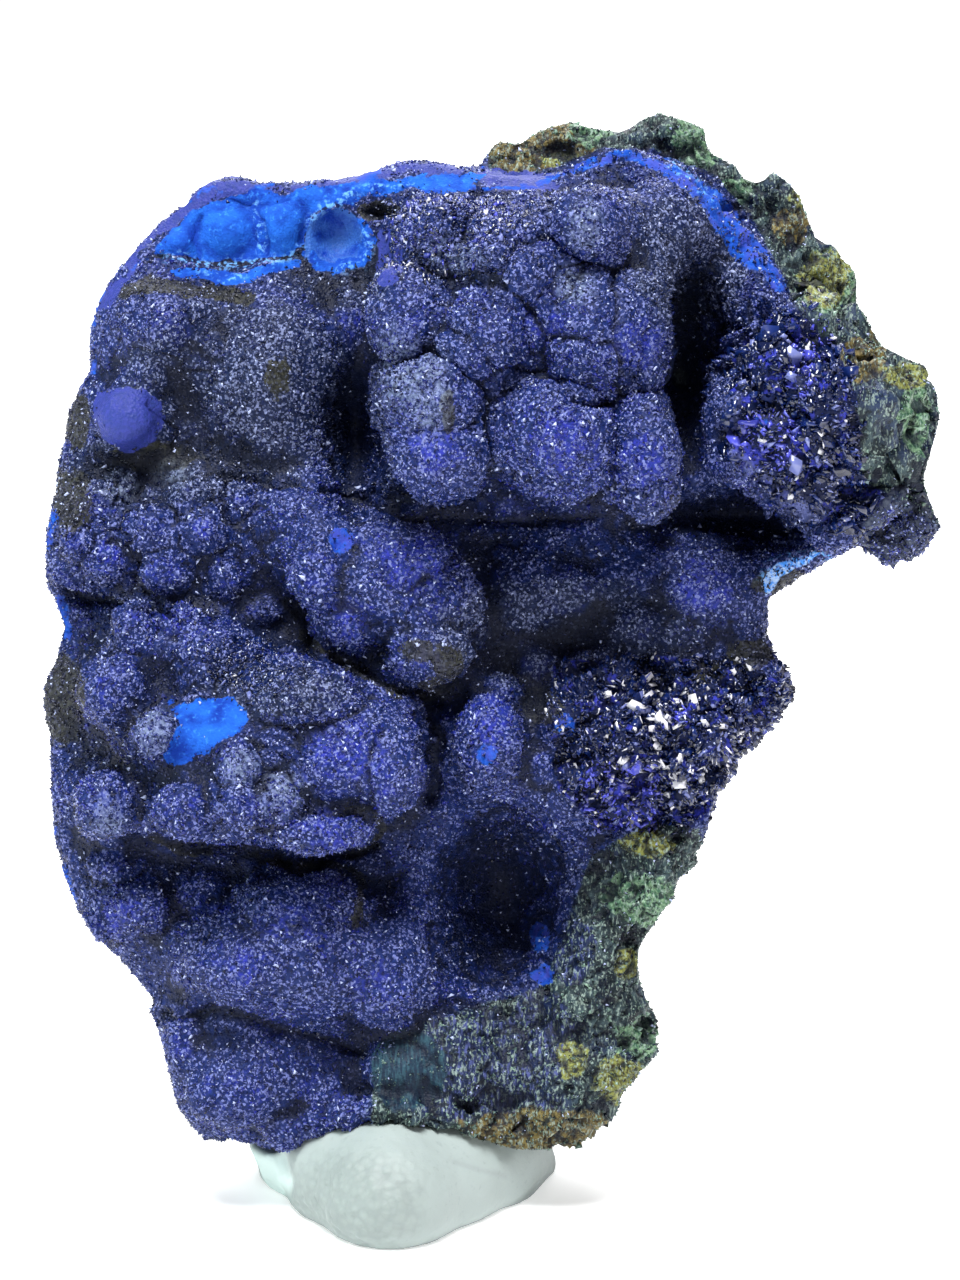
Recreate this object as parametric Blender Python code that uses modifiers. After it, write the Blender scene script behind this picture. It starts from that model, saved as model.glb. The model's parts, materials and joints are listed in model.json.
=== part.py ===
"""An azurite specimen, stood upright on a pressed lump of mineral putty.

The specimen is one grown mass: a blue botryoidal crust on green and brown matrix. It is
described in its own face frame, in millimetres: u runs to the right, v runs up the face and
w points out of it. The face frame leans back a little and stands in the putty.
"""
import math

import bpy
from mathutils import Matrix, Vector

MM = 0.001

# Driving dimensions, in millimetres and degrees.
LEAN_BACK = 12.0
FACE_FOOT_HEIGHT = 4.5
CRUST_BACK, CRUST_FRONT = -8.5, -3.0
MATRIX_BACK, MATRIX_FRONT = -14.5, -8.0
PUTTY_SEAT_GAP = 0.35
TABLE_BLOCK = 80.0

# How finely the rock is made: lengths in millimetres, steps as counts, detail as a share.
ROCK_VOXEL = 0.9
HOLLOW_VOXEL = 0.54
ROCK_SMOOTHING_STEPS = 3
ROCK_ROUGHNESS = 1.0
ROCK_GRAIN_SIZE = 4.5
ROCK_GRAIN_DEPTH = 1
ROCK_DETAIL_KEPT = 0.165

# How finely the putty is made.
PUTTY_VOXEL = 0.9
PUTTY_SMOOTHING_STEPS = 6
PUTTY_DETAIL_KEPT = 0.2

# Shared by both.
LUMP_SUBDIVISIONS = 4
SMOOTHING_STRENGTH = 0.5

# Plain finishes: colour (linear red, green, blue) and roughness.
AZURITE_COLOUR, AZURITE_SHEEN = (0.03, 0.035, 0.16), 0.55
PUTTY_COLOUR, PUTTY_SHEEN = (0.56, 0.66, 0.64), 0.6

# The azurite crust's edge, as (u, v), clockwise from its top left corner.
CRUST_EDGE = [
    (-23.1, 65.6), (-20.8, 67.2), (-19.9, 68.7), (-18.5, 69.4), (-12.8, 68.5), (-9.6, 69.2),
    (-5.0, 70.3), (1.4, 69.6), (5.7, 69.0), (8.5, 69.9), (10.1, 71.0), (12.8, 70.6),
    (15.7, 68.1), (20.3, 63.9), (25.6, 58.2), (28.5, 54.6), (31.0, 51.8), (31.4, 48.2),
    (32.7, 43.9), (30.2, 41.2), (28.5, 41.7), (27.2, 42.9), (24.5, 41.6), (20.4, 39.0),
    (20.6, 36.8), (21.0, 34.7), (22.3, 33.3), (22.0, 31.8), (20.6, 29.8), (18.4, 28.1),
    (16.7, 25.1), (15.4, 19.9), (13.0, 16.8), (11.2, 14.1), (11.2, 12.4), (13.2, 8.0),
    (10.0, 3.4), (8.9, 1.3), (6.8, 0.3), (2.3, 0.7), (-2.4, 2.1), (-5.5, 2.3),
    (-10.2, 1.3), (-14.2, 0.1), (-19.8, 0.8), (-21.5, 2.9), (-22.6, 7.4), (-23.5, 9.7),
    (-25.1, 12.9), (-28.4, 16.5), (-29.6, 19.2), (-30.4, 22.2), (-30.6, 29.6), (-31.6, 31.8),
    (-30.1, 34.7), (-29.5, 36.9), (-31.0, 40.2), (-30.9, 43.6), (-29.9, 48.8), (-29.1, 53.0),
    (-27.8, 55.2), (-27.3, 60.4),
]

# The matrix behind the crust stands out past it at the top right.
MATRIX_EDGE = [
    (-20.0, 60.0), (-12.0, 64.5), (-3.0, 66.5), (0.5, 71.6), (1.2, 72.7), (2.8, 72.3),
    (4.5, 73.5), (6.6, 74.0), (8.6, 73.5), (11.1, 73.2), (11.6, 74.1), (13.1, 74.7),
    (16.4, 73.6), (16.8, 71.8), (19.4, 69.7), (21.4, 70.4), (23.4, 68.6), (24.8, 65.0),
    (26.7, 64.3), (27.6, 62.7), (27.6, 60.8), (26.6, 60.0), (27.7, 57.3), (29.4, 57.7),
    (32.5, 56.2), (33.7, 52.4), (33.0, 49.6), (29.0, 45.0), (20.0, 43.0), (17.0, 34.0),
    (13.0, 24.0), (8.0, 14.0), (9.0, 6.0), (4.0, 3.5), (-14.0, 4.0), (-19.0, 8.0),
    (-24.0, 18.0), (-26.5, 28.0), (-25.5, 40.0), (-24.0, 52.0),
]

# Rounded growths on the face: centre (u, v, w) and half sizes (u, v, w).
FACE_LOBES = [
    # The big knobbly boss in the upper middle.
    (2.5, 56.9, -7.0, 9.7, 11.3, 13.5), (-3.1, 63.5, 0.0, 3.6, 3.6, 6.0),
    (-3.0, 50.9, 2.0, 3.9, 5.0, 8.0), (4.5, 49.8, 2.5, 4.4, 3.9, 8.0),
    (11.0, 48.8, 3.0, 2.1, 4.7, 6.0), (7.7, 56.7, 2.5, 4.0, 5.0, 8.0),
    (7.5, 64.4, 3.0, 3.3, 3.2, 6.0), (11.8, 58.2, 1.0, 2.5, 6.2, 6.0),
    (2.4, 60.9, 2.0, 4.2, 3.8, 8.0), (-4.8, 58.5, 2.0, 2.4, 3.4, 6.0),
    (13.0, 65.2, -2.0, 3.6, 3.9, 5.0), (0.0, 56.3, 3.5, 3.5, 3.2, 7.0),
    # The bladed cluster on the right.
    (18.8, 60.2, -5.0, 3.2, 4.3, 6.0), (22.4, 51.2, -2.0, 5.0, 5.0, 9.0),
    (28.5, 50.0, -6.0, 3.7, 5.3, 8.0), (29.4, 44.3, -5.0, 3.0, 3.0, 6.0),
    (21.3, 56.7, -1.0, 2.6, 2.5, 5.0), (25.7, 45.9, -3.0, 2.8, 2.8, 6.0),
    # The flat upper left, with its rubbed cap.
    (-22.1, 57.9, -3.0, 4.2, 3.9, 4.0), (-14.8, 55.2, -4.0, 5.6, 7.1, 5.0),
    (-24.6, 51.6, -1.2, 2.7, 2.4, 3.0),
    # Small domes down the left side.
    (-26.8, 43.5, -3.5, 3.4, 3.5, 5.0), (-21.4, 42.8, -3.0, 3.4, 3.9, 5.0),
    (-16.2, 42.8, -4.0, 2.8, 3.5, 5.0), (-18.6, 45.9, -2.5, 2.1, 1.8, 4.0),
    # The nodule in the centre, with the ledge above it.
    (-7.1, 40.3, -4.0, 6.5, 5.1, 9.0), (-3.5, 36.1, -2.0, 3.6, 3.5, 7.0),
    (-11.2, 41.7, -1.0, 2.6, 3.5, 6.0), (-11.2, 45.6, -2.5, 7.0, 1.5, 5.0),
    # The lower left heap of domes.
    (-14.9, 28.7, -5.0, 11.7, 7.7, 12.0), (-25.1, 32.6, -1.0, 3.1, 3.1, 6.0),
    (-26.2, 24.6, -1.5, 2.5, 2.7, 6.0), (-20.4, 24.0, 1.0, 3.3, 2.5, 6.0),
    (-22.0, 29.6, 2.5, 2.4, 2.4, 4.0), (-16.4, 25.2, 3.5, 2.9, 2.8, 5.0),
    (-11.0, 23.0, 2.5, 3.9, 1.7, 5.0), (-7.6, 28.8, 1.0, 4.3, 4.5, 7.0),
    (-12.4, 32.0, 2.5, 3.8, 3.4, 5.0), (-23.0, 35.8, -0.5, 2.9, 2.4, 5.0),
    (-18.4, 35.4, 0.5, 3.1, 2.4, 5.0),
    # The smooth swellings below them.
    (-12.8, 14.0, -6.5, 10.7, 6.1, 11.0), (-24.1, 17.7, -4.5, 4.1, 3.9, 5.0),
    (-5.7, 13.3, -6.0, 4.3, 5.7, 8.0), (-15.7, 5.9, -6.0, 7.1, 4.8, 8.0),
    (-20.2, 7.4, -4.5, 2.5, 4.4, 5.0), (-10.7, 5.4, -6.0, 3.6, 3.6, 6.0),
    # The smooth dished floor right of the centre.
    (10.1, 39.0, -10.0, 9.2, 5.1, 8.0), (2.9, 39.0, -6.5, 4.3, 4.3, 6.0),
    (16.2, 39.0, -7.0, 3.6, 4.3, 6.0),
    # The crystal heap at the lower right.
    (0.5, 28.5, -2.5, 3.2, 4.8, 7.0), (8.6, 29.3, -6.5, 7.8, 5.7, 10.0),
    (14.9, 28.7, -5.0, 3.5, 4.3, 8.0), (18.8, 32.5, -6.0, 2.8, 3.4, 6.0),
    (5.6, 24.8, -3.5, 4.2, 2.8, 6.0),
    # Bare matrix at the lower right corner.
    (11.9, 19.7, -6.0, 3.4, 3.7, 7.0), (8.1, 11.4, -7.0, 3.5, 6.4, 7.5),
    (6.4, 5.4, -5.5, 5.0, 4.2, 7.5), (-1.4, 6.4, -6.0, 5.7, 4.1, 7.5),
    (-6.0, 6.0, -3.5, 2.3, 3.0, 5.0),
]

# Rough boulders of matrix that make the back.
BACK_LOBES = [
    (-14.0, 54.0, -9.0, 10.0, 10.0, 9.0), (-3.0, 58.0, -11.0, 11.0, 10.0, 9.5),
    (9.0, 62.0, -12.0, 10.0, 9.0, 8.5), (18.0, 58.0, -11.0, 7.5, 8.0, 8.5),
    (26.5, 50.0, -9.0, 5.5, 5.5, 7.5), (8.0, 48.0, -12.0, 12.0, 10.0, 9.0),
    (-19.0, 42.0, -8.5, 9.0, 9.0, 9.0), (-7.0, 42.0, -11.0, 10.0, 9.0, 9.5),
    (12.0, 35.0, -9.5, 8.0, 9.0, 8.0), (-21.0, 29.0, -8.0, 8.0, 9.0, 8.5),
    (-9.0, 27.0, -10.5, 10.0, 9.0, 8.5), (5.0, 24.0, -9.5, 8.0, 9.0, 7.5),
    (-17.0, 17.0, -8.5, 8.5, 8.0, 7.5), (-4.0, 14.0, -9.0, 9.0, 8.0, 7.0),
    (-13.0, 8.5, -8.0, 8.0, 5.5, 5.0), (4.0, 8.5, -8.0, 6.5, 5.0, 5.0),
    (16.0, 68.0, -12.0, 4.0, 3.5, 5.0), (5.5, 69.5, -12.0, 5.0, 3.2, 5.0),
]

# Hollows in the face, in the same form.
HOLLOWS = [
    (-8.9, 49.9, 0.5, 2.3, 5.6, 6.5), (14.8, 54.2, -1.0, 2.9, 7.7, 8.0),
    (13.7, 56.5, -3.0, 1.5, 2.8, 7.0), (18.1, 44.7, 0.5, 9.0, 2.9, 8.5),
    (0.5, 44.4, 1.5, 6.2, 1.6, 5.5), (1.2, 18.0, -0.5, 5.4, 6.9, 7.5),
    (-3.5, 27.8, 2.0, 0.9, 4.2, 6.0), (-17.2, 64.4, 0.0, 3.0, 2.4, 5.0),
    (-13.5, 64.9, 0.0, 2.2, 1.9, 4.0), (-10.1, 64.2, 0.0, 2.3, 1.9, 4.0),
]

# The putty: overlapping pressed lumps, centre (x, y, z) and half sizes, on the table.
# It points forward in a blunt wedge and spreads out backwards under the rock.
PUTTY_LUMPS = [
    (-6.2, 1.1, 2.4, 5.6, 7.6, 5.1), (-2.6, 4.6, 2.4, 4.8, 7.2, 5.2),
    (0.8, 7.6, 2.4, 4.2, 6.2, 5.2), (2.8, 10.8, 2.4, 3.4, 5.2, 4.4),
    (-9.6, 4.2, 2.6, 4.6, 6.4, 4.9), (-12.2, 9.4, 2.6, 4.6, 6.4, 4.6),
    (-5.6, 14.5, 2.0, 10.8, 8.4, 5.2),
]


def clear_scene():
    """Start from an empty scene."""
    for item in list(bpy.data.objects):
        bpy.data.objects.remove(item, do_unlink=True)


def new_collection(name):
    """A collection linked into the scene."""
    group = bpy.data.collections.new(name)
    bpy.context.scene.collection.children.link(group)
    return group


def finish(name, colour, roughness):
    """A plain surface finish."""
    material = bpy.data.materials.new(name)
    material.use_nodes = True
    shader = material.node_tree.nodes["Principled BSDF"]
    shader.inputs["Base Color"].default_value = (*colour, 1.0)
    shader.inputs["Roughness"].default_value = roughness
    shader.inputs["Metallic"].default_value = 0.0
    return material


def put_in(item, group):
    """Move an object out of the collections it was born in and into one group."""
    for old in list(item.users_collection):
        old.objects.unlink(item)
    group.objects.link(item)


def slab(name, edge, back, front, group):
    """A flat plate with the outline `edge`, from w = back to w = front, as a mesh."""
    curve = bpy.data.curves.new(name, "CURVE")
    curve.dimensions = "2D"
    curve.fill_mode = "BOTH"
    curve.extrude = (front - back) / 2 * MM
    spline = curve.splines.new("POLY")
    spline.points.add(len(edge) - 1)
    for point, (u, v) in zip(spline.points, edge):
        point.co = (u * MM, v * MM, 0.0, 1.0)
    spline.use_cyclic_u = True
    plate = bpy.data.objects.new(name + "_outline", curve)
    group.objects.link(plate)
    plate.location.z = (front + back) / 2 * MM
    bpy.context.view_layer.update()
    seen = plate.evaluated_get(bpy.context.evaluated_depsgraph_get())
    mesh = bpy.data.meshes.new_from_object(seen)
    solid = bpy.data.objects.new(name, mesh)
    solid.matrix_world = plate.matrix_world
    group.objects.link(solid)
    bpy.data.objects.remove(plate, do_unlink=True)
    return solid


def lump(name, centre, half, group):
    """One rounded lump, scaled from a ball."""
    bpy.ops.mesh.primitive_ico_sphere_add(subdivisions=LUMP_SUBDIVISIONS, radius=1.0)
    ball = bpy.context.object
    ball.name = name
    put_in(ball, group)
    ball.data.transform(Matrix.Diagonal(Vector((*half, 1.0))) * MM)
    ball.location = Vector(centre) * MM
    return ball


def join(name, items):
    """Join objects into the first one, with its place and size applied."""
    bpy.context.view_layer.update()
    for item in items:
        item.data.transform(item.matrix_world)
        item.matrix_world = Matrix.Identity(4)
    with bpy.context.temp_override(active_object=items[0], selected_editable_objects=items):
        bpy.ops.object.join()
    items[0].name = name
    items[0].data.name = name
    return items[0]


def lumps(name, rows, group):
    """Many rounded lumps joined into one object."""
    balls = [lump(f"{name}_{i}", row[:3], row[3:], group) for i, row in enumerate(rows)]
    return join(name, balls)


def remesh(item, voxel, label):
    """Fuse overlapping closed shapes into one skin."""
    fuse = item.modifiers.new(label, "REMESH")
    fuse.mode = "VOXEL"
    fuse.voxel_size = voxel * MM
    return fuse


def smooth(item, steps, label):
    """Round off the skin."""
    soften = item.modifiers.new(label, "SMOOTH")
    soften.factor = SMOOTHING_STRENGTH
    soften.iterations = steps
    return soften


def carve(item, cutter, label):
    """Cut one closed shape out of another."""
    cut = item.modifiers.new(label, "BOOLEAN")
    cut.operation = "DIFFERENCE"
    cut.solver = "EXACT"
    cut.object = cutter
    return cut


def hide_cutter(item):
    """Mark a shape that only cuts or guides."""
    item.hide_render = True
    item.display_type = "WIRE"


def lean(item):
    """Stand the face frame up: w turns towards -Y, then the whole leans back."""
    item.rotation_euler = (math.radians(90.0 - LEAN_BACK), 0.0, 0.0)
    item.location = (0.0, 0.0, FACE_FOOT_HEIGHT * MM)


def rock(cutters, group):
    """The grown mass: crust plate, matrix plate and lobes fused, then hollowed and roughened."""
    hollow = lumps("hollow_cutter", HOLLOWS, cutters)
    remesh(hollow, HOLLOW_VOXEL, "fuse hollows")
    hide_cutter(hollow)

    pieces = [
        slab("crust_plate", CRUST_EDGE, CRUST_BACK, CRUST_FRONT, group),
        slab("matrix_plate", MATRIX_EDGE, MATRIX_BACK, MATRIX_FRONT, group),
        lumps("face_lobes", FACE_LOBES, group),
        lumps("back_lobes", BACK_LOBES, group),
    ]
    body = join("azurite_specimen", pieces)
    remesh(body, ROCK_VOXEL, "fuse growth")
    carve(body, hollow, "open hollows")
    remesh(body, ROCK_VOXEL, "heal hollows")
    smooth(body, ROCK_SMOOTHING_STEPS, "soften")

    grain = bpy.data.textures.new("rough growth", "CLOUDS")
    grain.noise_scale = ROCK_GRAIN_SIZE * MM
    grain.noise_depth = ROCK_GRAIN_DEPTH
    roughen = body.modifiers.new("roughen", "DISPLACE")
    roughen.texture = grain
    roughen.texture_coords = "LOCAL"
    roughen.strength = ROCK_ROUGHNESS * MM
    roughen.mid_level = 0.5

    thin = body.modifiers.new("fewer faces", "DECIMATE")
    thin.ratio = ROCK_DETAIL_KEPT
    lean(body)
    hollow.rotation_euler = body.rotation_euler
    hollow.location = body.location
    body.data.materials.clear()
    body.data.materials.append(finish("azurite crust", AZURITE_COLOUR, AZURITE_SHEEN))
    return body


def rock_clearance(body, cutters):
    """A slightly swollen copy of the rock, which leaves the seat in the putty."""
    seat = body.copy()
    seat.name = "seat_cutter"
    cutters.objects.link(seat)
    swell = seat.modifiers.new("swell", "DISPLACE")
    swell.strength = PUTTY_SEAT_GAP * MM
    swell.mid_level = 0.0
    hide_cutter(seat)
    return seat


def table_cutter(cutters):
    """A block under the table top, which trims the putty flat."""
    under = (0.0, 0.0, -TABLE_BLOCK / 2 * MM)
    bpy.ops.mesh.primitive_cube_add(size=TABLE_BLOCK * MM, location=under)
    block = bpy.context.object
    block.name = "table_cutter"
    put_in(block, cutters)
    hide_cutter(block)
    return block


def putty(body, cutters, group):
    """The pressed lump: fused balls, cut flat below and seated against the rock."""
    foot = lumps("putty_foot", PUTTY_LUMPS, group)
    remesh(foot, PUTTY_VOXEL, "press together")
    smooth(foot, PUTTY_SMOOTHING_STEPS, "soften")
    thin = foot.modifiers.new("fewer faces", "DECIMATE")
    thin.ratio = PUTTY_DETAIL_KEPT
    carve(foot, table_cutter(cutters), "flat underside")
    carve(foot, rock_clearance(body, cutters), "seat")
    foot.data.materials.clear()
    foot.data.materials.append(finish("mineral putty", PUTTY_COLOUR, PUTTY_SHEEN))
    return foot


def seen_bounds(items):
    """The lowest and highest corner of the evaluated objects, in world space."""
    bpy.context.view_layer.update()
    graph = bpy.context.evaluated_depsgraph_get()
    points = []
    for item in items:
        seen = item.evaluated_get(graph)
        points += [item.matrix_world @ vertex.co for vertex in seen.to_mesh().vertices]
        seen.to_mesh_clear()
    low = Vector(min(p[i] for p in points) for i in range(3))
    high = Vector(max(p[i] for p in points) for i in range(3))
    return low, high


def centre_on_table(items, all_objects):
    """Hang everything on one empty, with the middle of the base at the origin."""
    low, high = seen_bounds(items)
    print("size in mm", [round(side / MM, 2) for side in high - low])
    anchor = bpy.data.objects.new("specimen_frame", None)
    bpy.context.scene.collection.objects.link(anchor)
    for item in all_objects:
        item.parent = anchor
    anchor.location = (-(low.x + high.x) / 2, -(low.y + high.y) / 2, -low.z)
    bpy.context.view_layer.update()


clear_scene()
specimen_parts = new_collection("azurite_on_putty")
cutting_shapes = new_collection("cutters")
specimen = rock(cutting_shapes, specimen_parts)
foot = putty(specimen, cutting_shapes, specimen_parts)
for part in (specimen, foot):
    part.data.shade_smooth()
centre_on_table([specimen, foot], [specimen, foot, *cutting_shapes.objects])
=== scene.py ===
# %% [markdown]
# # An azurite specimen, from a plain solid to a crystal crust
#
# The real object is a hand-sized mineral specimen. A knobbly blue crust of azurite grew on a
# lump of green and brown matrix, and the piece stands in a pressed lump of grey mineral putty.
# We start from a fixed, plain solid of the right size and give it the surface that it has in
# life: lobes, cracks, bare blue hollows, and a skin of well over a hundred thousand crystals.

# %% Load the fixed frame
import itertools
import json
import math

import bmesh
import bpy
import numpy as np
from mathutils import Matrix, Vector
from mathutils.bvhtree import BVHTree

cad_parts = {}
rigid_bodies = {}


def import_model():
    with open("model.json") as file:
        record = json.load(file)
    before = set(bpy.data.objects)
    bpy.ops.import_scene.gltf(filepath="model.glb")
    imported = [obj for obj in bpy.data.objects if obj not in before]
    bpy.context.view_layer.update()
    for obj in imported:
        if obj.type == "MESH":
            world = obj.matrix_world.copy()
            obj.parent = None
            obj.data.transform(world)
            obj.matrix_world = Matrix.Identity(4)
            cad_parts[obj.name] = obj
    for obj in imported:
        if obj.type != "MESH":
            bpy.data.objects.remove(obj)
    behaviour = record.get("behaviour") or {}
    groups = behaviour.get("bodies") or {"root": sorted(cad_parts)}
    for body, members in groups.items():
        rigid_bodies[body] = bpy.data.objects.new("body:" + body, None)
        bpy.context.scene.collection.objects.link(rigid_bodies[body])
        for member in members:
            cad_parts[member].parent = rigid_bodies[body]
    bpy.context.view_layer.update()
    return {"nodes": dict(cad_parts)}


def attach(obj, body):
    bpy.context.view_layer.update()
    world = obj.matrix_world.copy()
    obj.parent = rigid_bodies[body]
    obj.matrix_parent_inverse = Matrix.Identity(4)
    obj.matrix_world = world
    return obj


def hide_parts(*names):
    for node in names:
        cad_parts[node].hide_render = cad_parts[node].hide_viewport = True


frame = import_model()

print("plain solids:", sorted(frame["nodes"]))

# %% [markdown]
# ## A frame that leans with the rock
#
# The rock's face leans back by twelve degrees. It is far easier to say "three millimetres to
# the left of that crack" on the face itself, so every point is handled as (u, v, w) in
# millimetres: u to the right, v up the face, w out of it. Two small functions go to and from
# Blender's metres.

# %% The face frame
MM = 0.001
LEAN_BACK = math.radians(12.0)
FACE_FOOT = np.array([-1.22, -13.44, 4.5])
FACE_AXES = np.array([
    [1.0, 0.0, 0.0],
    [0.0, math.sin(LEAN_BACK), math.cos(LEAN_BACK)],
    [0.0, -math.cos(LEAN_BACK), math.sin(LEAN_BACK)],
])


def to_face(points):
    """Blender's metres to face millimetres."""
    return (points / MM - FACE_FOOT) @ FACE_AXES.T


def to_world(points):
    """Face millimetres to Blender's metres."""
    return (points @ FACE_AXES + FACE_FOOT) * MM


# %% [markdown]
# ## Places as they are seen
#
# Collectors describe a specimen by its front. A place is therefore given as it is seen from
# a viewer's eye 240 mm in front of the face: two millimetre numbers on the face plane. A
# point that stands out of the face looks further from the middle than it is, and `seen_at`
# allows for that.

# %% The viewer's eye
EYE_HEIGHT = 36.1
EYE_DISTANCE = 240.0
EYE = Vector((0.0, EYE_HEIGHT, EYE_DISTANCE))


def seen_at(points):
    """Where face points appear on the face plane from the viewer's eye."""
    swell = EYE_DISTANCE / (EYE_DISTANCE - points[:, 2])
    return np.stack([points[:, 0] * swell, EYE_HEIGHT + (points[:, 1] - EYE_HEIGHT) * swell], 1)


# %% [markdown]
# ## A sight grid
#
# To note where things are, hold a fine grid in front of the specimen and read off the step
# across and the step down. The grid here has 14.4 steps to a millimetre of the face plane.
# `seen` turns such notes into millimetres. Sizes are always written in millimetres.

# %% The sight grid
SIGHT_STEPS = 14.4
SIGHT_FOOT = (480, 1160)
CLOSE_STEPS = 3.0625
CLOSE_CORNER = (370, 180)


def seen(*notes):
    """Notes from the sight grid, as millimetre places on the face plane."""
    return [((x - SIGHT_FOOT[0]) / SIGHT_STEPS, (SIGHT_FOOT[1] - y) / SIGHT_STEPS) for x, y in notes]


def seen_close(*notes):
    """Notes from a finer grid laid over the boss, as millimetre places."""
    return seen(*[(CLOSE_CORNER[0] + x / CLOSE_STEPS, CLOSE_CORNER[1] + y / CLOSE_STEPS) for x, y in notes])


def seen_rows(rows):
    """Rows that start with a sight note, with that note in millimetres."""
    return [(*seen((x, y))[0], *rest) for x, y, *rest in rows]


def seen_spots(rows):
    """Rows of a sight note and two half sizes, as a centre and a pair of half sizes."""
    return [(seen((x, y))[0], (half_u, half_v), *rest) for x, y, half_u, half_v, *rest in rows]


print("one step is", round(1 / SIGHT_STEPS, 3), "mm")

# %% [markdown]
# ## Moving between meshes and arrays
#
# The crust has a hundred thousand points, so shaping them one at a time in Python would be
# slow. Numpy handles them all at once. These helpers read a mesh's points into an array,
# write them back, and build a new mesh from arrays.

# %% Mesh helpers
def object_from(name, points, faces):
    """A new object from face points in millimetres and rows of corner numbers."""
    mesh = bpy.data.meshes.new(name)
    count, sides = faces.shape
    mesh.vertices.add(len(points))
    mesh.vertices.foreach_set("co", to_world(points).ravel())
    mesh.loops.add(count * sides)
    mesh.loops.foreach_set("vertex_index", faces.ravel())
    mesh.polygons.add(count)
    mesh.polygons.foreach_set("loop_start", np.arange(count) * sides)
    mesh.update(calc_edges=True)
    item = bpy.data.objects.new(name, mesh)
    bpy.context.scene.collection.objects.link(item)
    return item


def points_of(item):
    """An object's points in the face frame."""
    flat = np.empty(len(item.data.vertices) * 3, np.float32)
    item.data.vertices.foreach_get("co", flat)
    return to_face(flat.reshape(-1, 3).astype(float))


def normals_of(item):
    """The outward direction at each point, in the face frame."""
    flat = np.empty(len(item.data.vertices) * 3, np.float32)
    item.data.vertex_normals.foreach_get("vector", flat)
    return flat.reshape(-1, 3).astype(float) @ FACE_AXES.T


def move_points(item, points):
    """Write face points back to an object."""
    item.data.vertices.foreach_set("co", to_world(points).ravel())
    item.data.update()


def set_field(item, name, values):
    """Store one number a point under a name that materials can read."""
    field = item.data.attributes.new(name, "FLOAT", "POINT")
    field.data.foreach_set("value", np.asarray(values, np.float32))


def apply_modifiers(item):
    """Turn an object's modifiers into plain mesh."""
    graph = bpy.context.evaluated_depsgraph_get()
    mesh = bpy.data.meshes.new_from_object(item.evaluated_get(graph))
    old = item.data
    item.modifiers.clear()
    item.data = mesh
    bpy.data.meshes.remove(old)


def averaged(item, points, steps):
    """Points after moving to the mean of their neighbours this many times."""
    pairs = np.empty(len(item.data.edges) * 2, np.int32)
    item.data.edges.foreach_get("vertices", pairs)
    first, last = pairs.reshape(-1, 2).T
    ends, others = np.concatenate([first, last]), np.concatenate([last, first])
    share = np.bincount(ends, minlength=len(points))[:, None]
    for _ in range(steps):
        sums = [np.bincount(ends, points[others, axis], len(points)) for axis in range(3)]
        points = np.stack(sums, 1) / share
    return points


def triangles_in(item):
    """How many triangles an object has."""
    return sum(len(face.vertices) - 2 for face in item.data.polygons)


# %% [markdown]
# ## Repeatable chance
#
# Nature is irregular, but a script must make the same rock each time. One table of numbers
# from a seeded generator stands for all the chance in the stone. `hills` blends the table
# into soft noise, and `grains` finds for each point its nearest scattered seed, which gives
# rounded cells like those of a botryoidal, or grape-like, crust.

# %% Noise from one seeded table
TABLE_SIDE = 48
CHANCE = np.random.default_rng(11).random((TABLE_SIDE, TABLE_SIDE, TABLE_SIDE, 4))


def chance_at(cells):
    """The table's row for whole-number cells, repeated in all directions."""
    i, j, k = (cells % TABLE_SIDE).T
    return CHANCE[i, j, k]


def hills(points, size, layer=0):
    """Soft random hills from -1 to 1, `size` millimetres across."""
    place = points / size + 7.3 * layer
    base = np.floor(place).astype(int)
    part = place - base
    part = part * part * (3.0 - 2.0 * part)
    total = np.zeros(len(points))
    for corner in itertools.product((0, 1), repeat=3):
        weight = np.prod(np.where(corner, part, 1.0 - part), axis=1)
        total += weight * chance_at(base + corner)[:, layer % 4]
    return 2.0 * total - 1.0


def rough_hills(points, size, steps, layer=0):
    """Hills with smaller hills on them."""
    total = np.zeros(len(points))
    for step in range(steps):
        total += hills(points, size / 2 ** step, layer + step) / 2 ** step
    return total


def grains(points, size, layer=0):
    """Distance to the nearest and second nearest seed, in cells, and a number for the nearest."""
    place = points / size + 3.1 * layer
    base = np.floor(place).astype(int)
    nearest = np.full(len(points), 9.0)
    second = np.full(len(points), 9.0)
    label = np.zeros(len(points))
    for step in itertools.product((-1, 0, 1), repeat=3):
        cell = base + step
        row = chance_at(cell)
        gap = np.linalg.norm(place - cell - row[:, :3], axis=1)
        closer = gap < nearest
        second = np.where(closer, nearest, np.minimum(second, gap))
        label = np.where(closer, row[:, 3], label)
        nearest = np.where(closer, gap, nearest)
    return nearest, second, label


# %% [markdown]
# ## Patches and lines on the face
#
# A mineral patch is drawn as a few points round its edge, and a crack as a few points along
# it. These functions turn such drawings into soft numbers from 0 to 1 for every point of the
# mesh. The colours and the relief both use them, so a blue hollow is blue where it is hollow.

# %% Masks
def soft_step(values, low, high):
    """0 below low, 1 above high, and smooth between."""
    t = np.clip((values - low) / (high - low), 0.0, 1.0)
    return t * t * (3.0 - 2.0 * t)


def gap_to_line(spots, line):
    """How far each spot is from a line through some points."""
    best = np.full(len(spots), np.inf)
    for start, end in zip(np.array(line[:-1]), np.array(line[1:])):
        along = end - start
        t = np.clip((spots - start) @ along / (along @ along), 0.0, 1.0)
        best = np.minimum(best, np.linalg.norm(spots - start - t[:, None] * along, axis=1))
    return best


def within(spots, outline):
    """Whether each spot is inside a closed outline."""
    x, y = spots.T
    inside = np.zeros(len(spots), bool)
    for (x0, y0), (x1, y1) in zip(outline, outline[1:] + outline[:1]):
        if y0 != y1:
            crosses = ((y0 > y) != (y1 > y)) & (x < (x1 - x0) * (y - y0) / (y1 - y0) + x0)
            inside ^= crosses
    return inside


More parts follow.
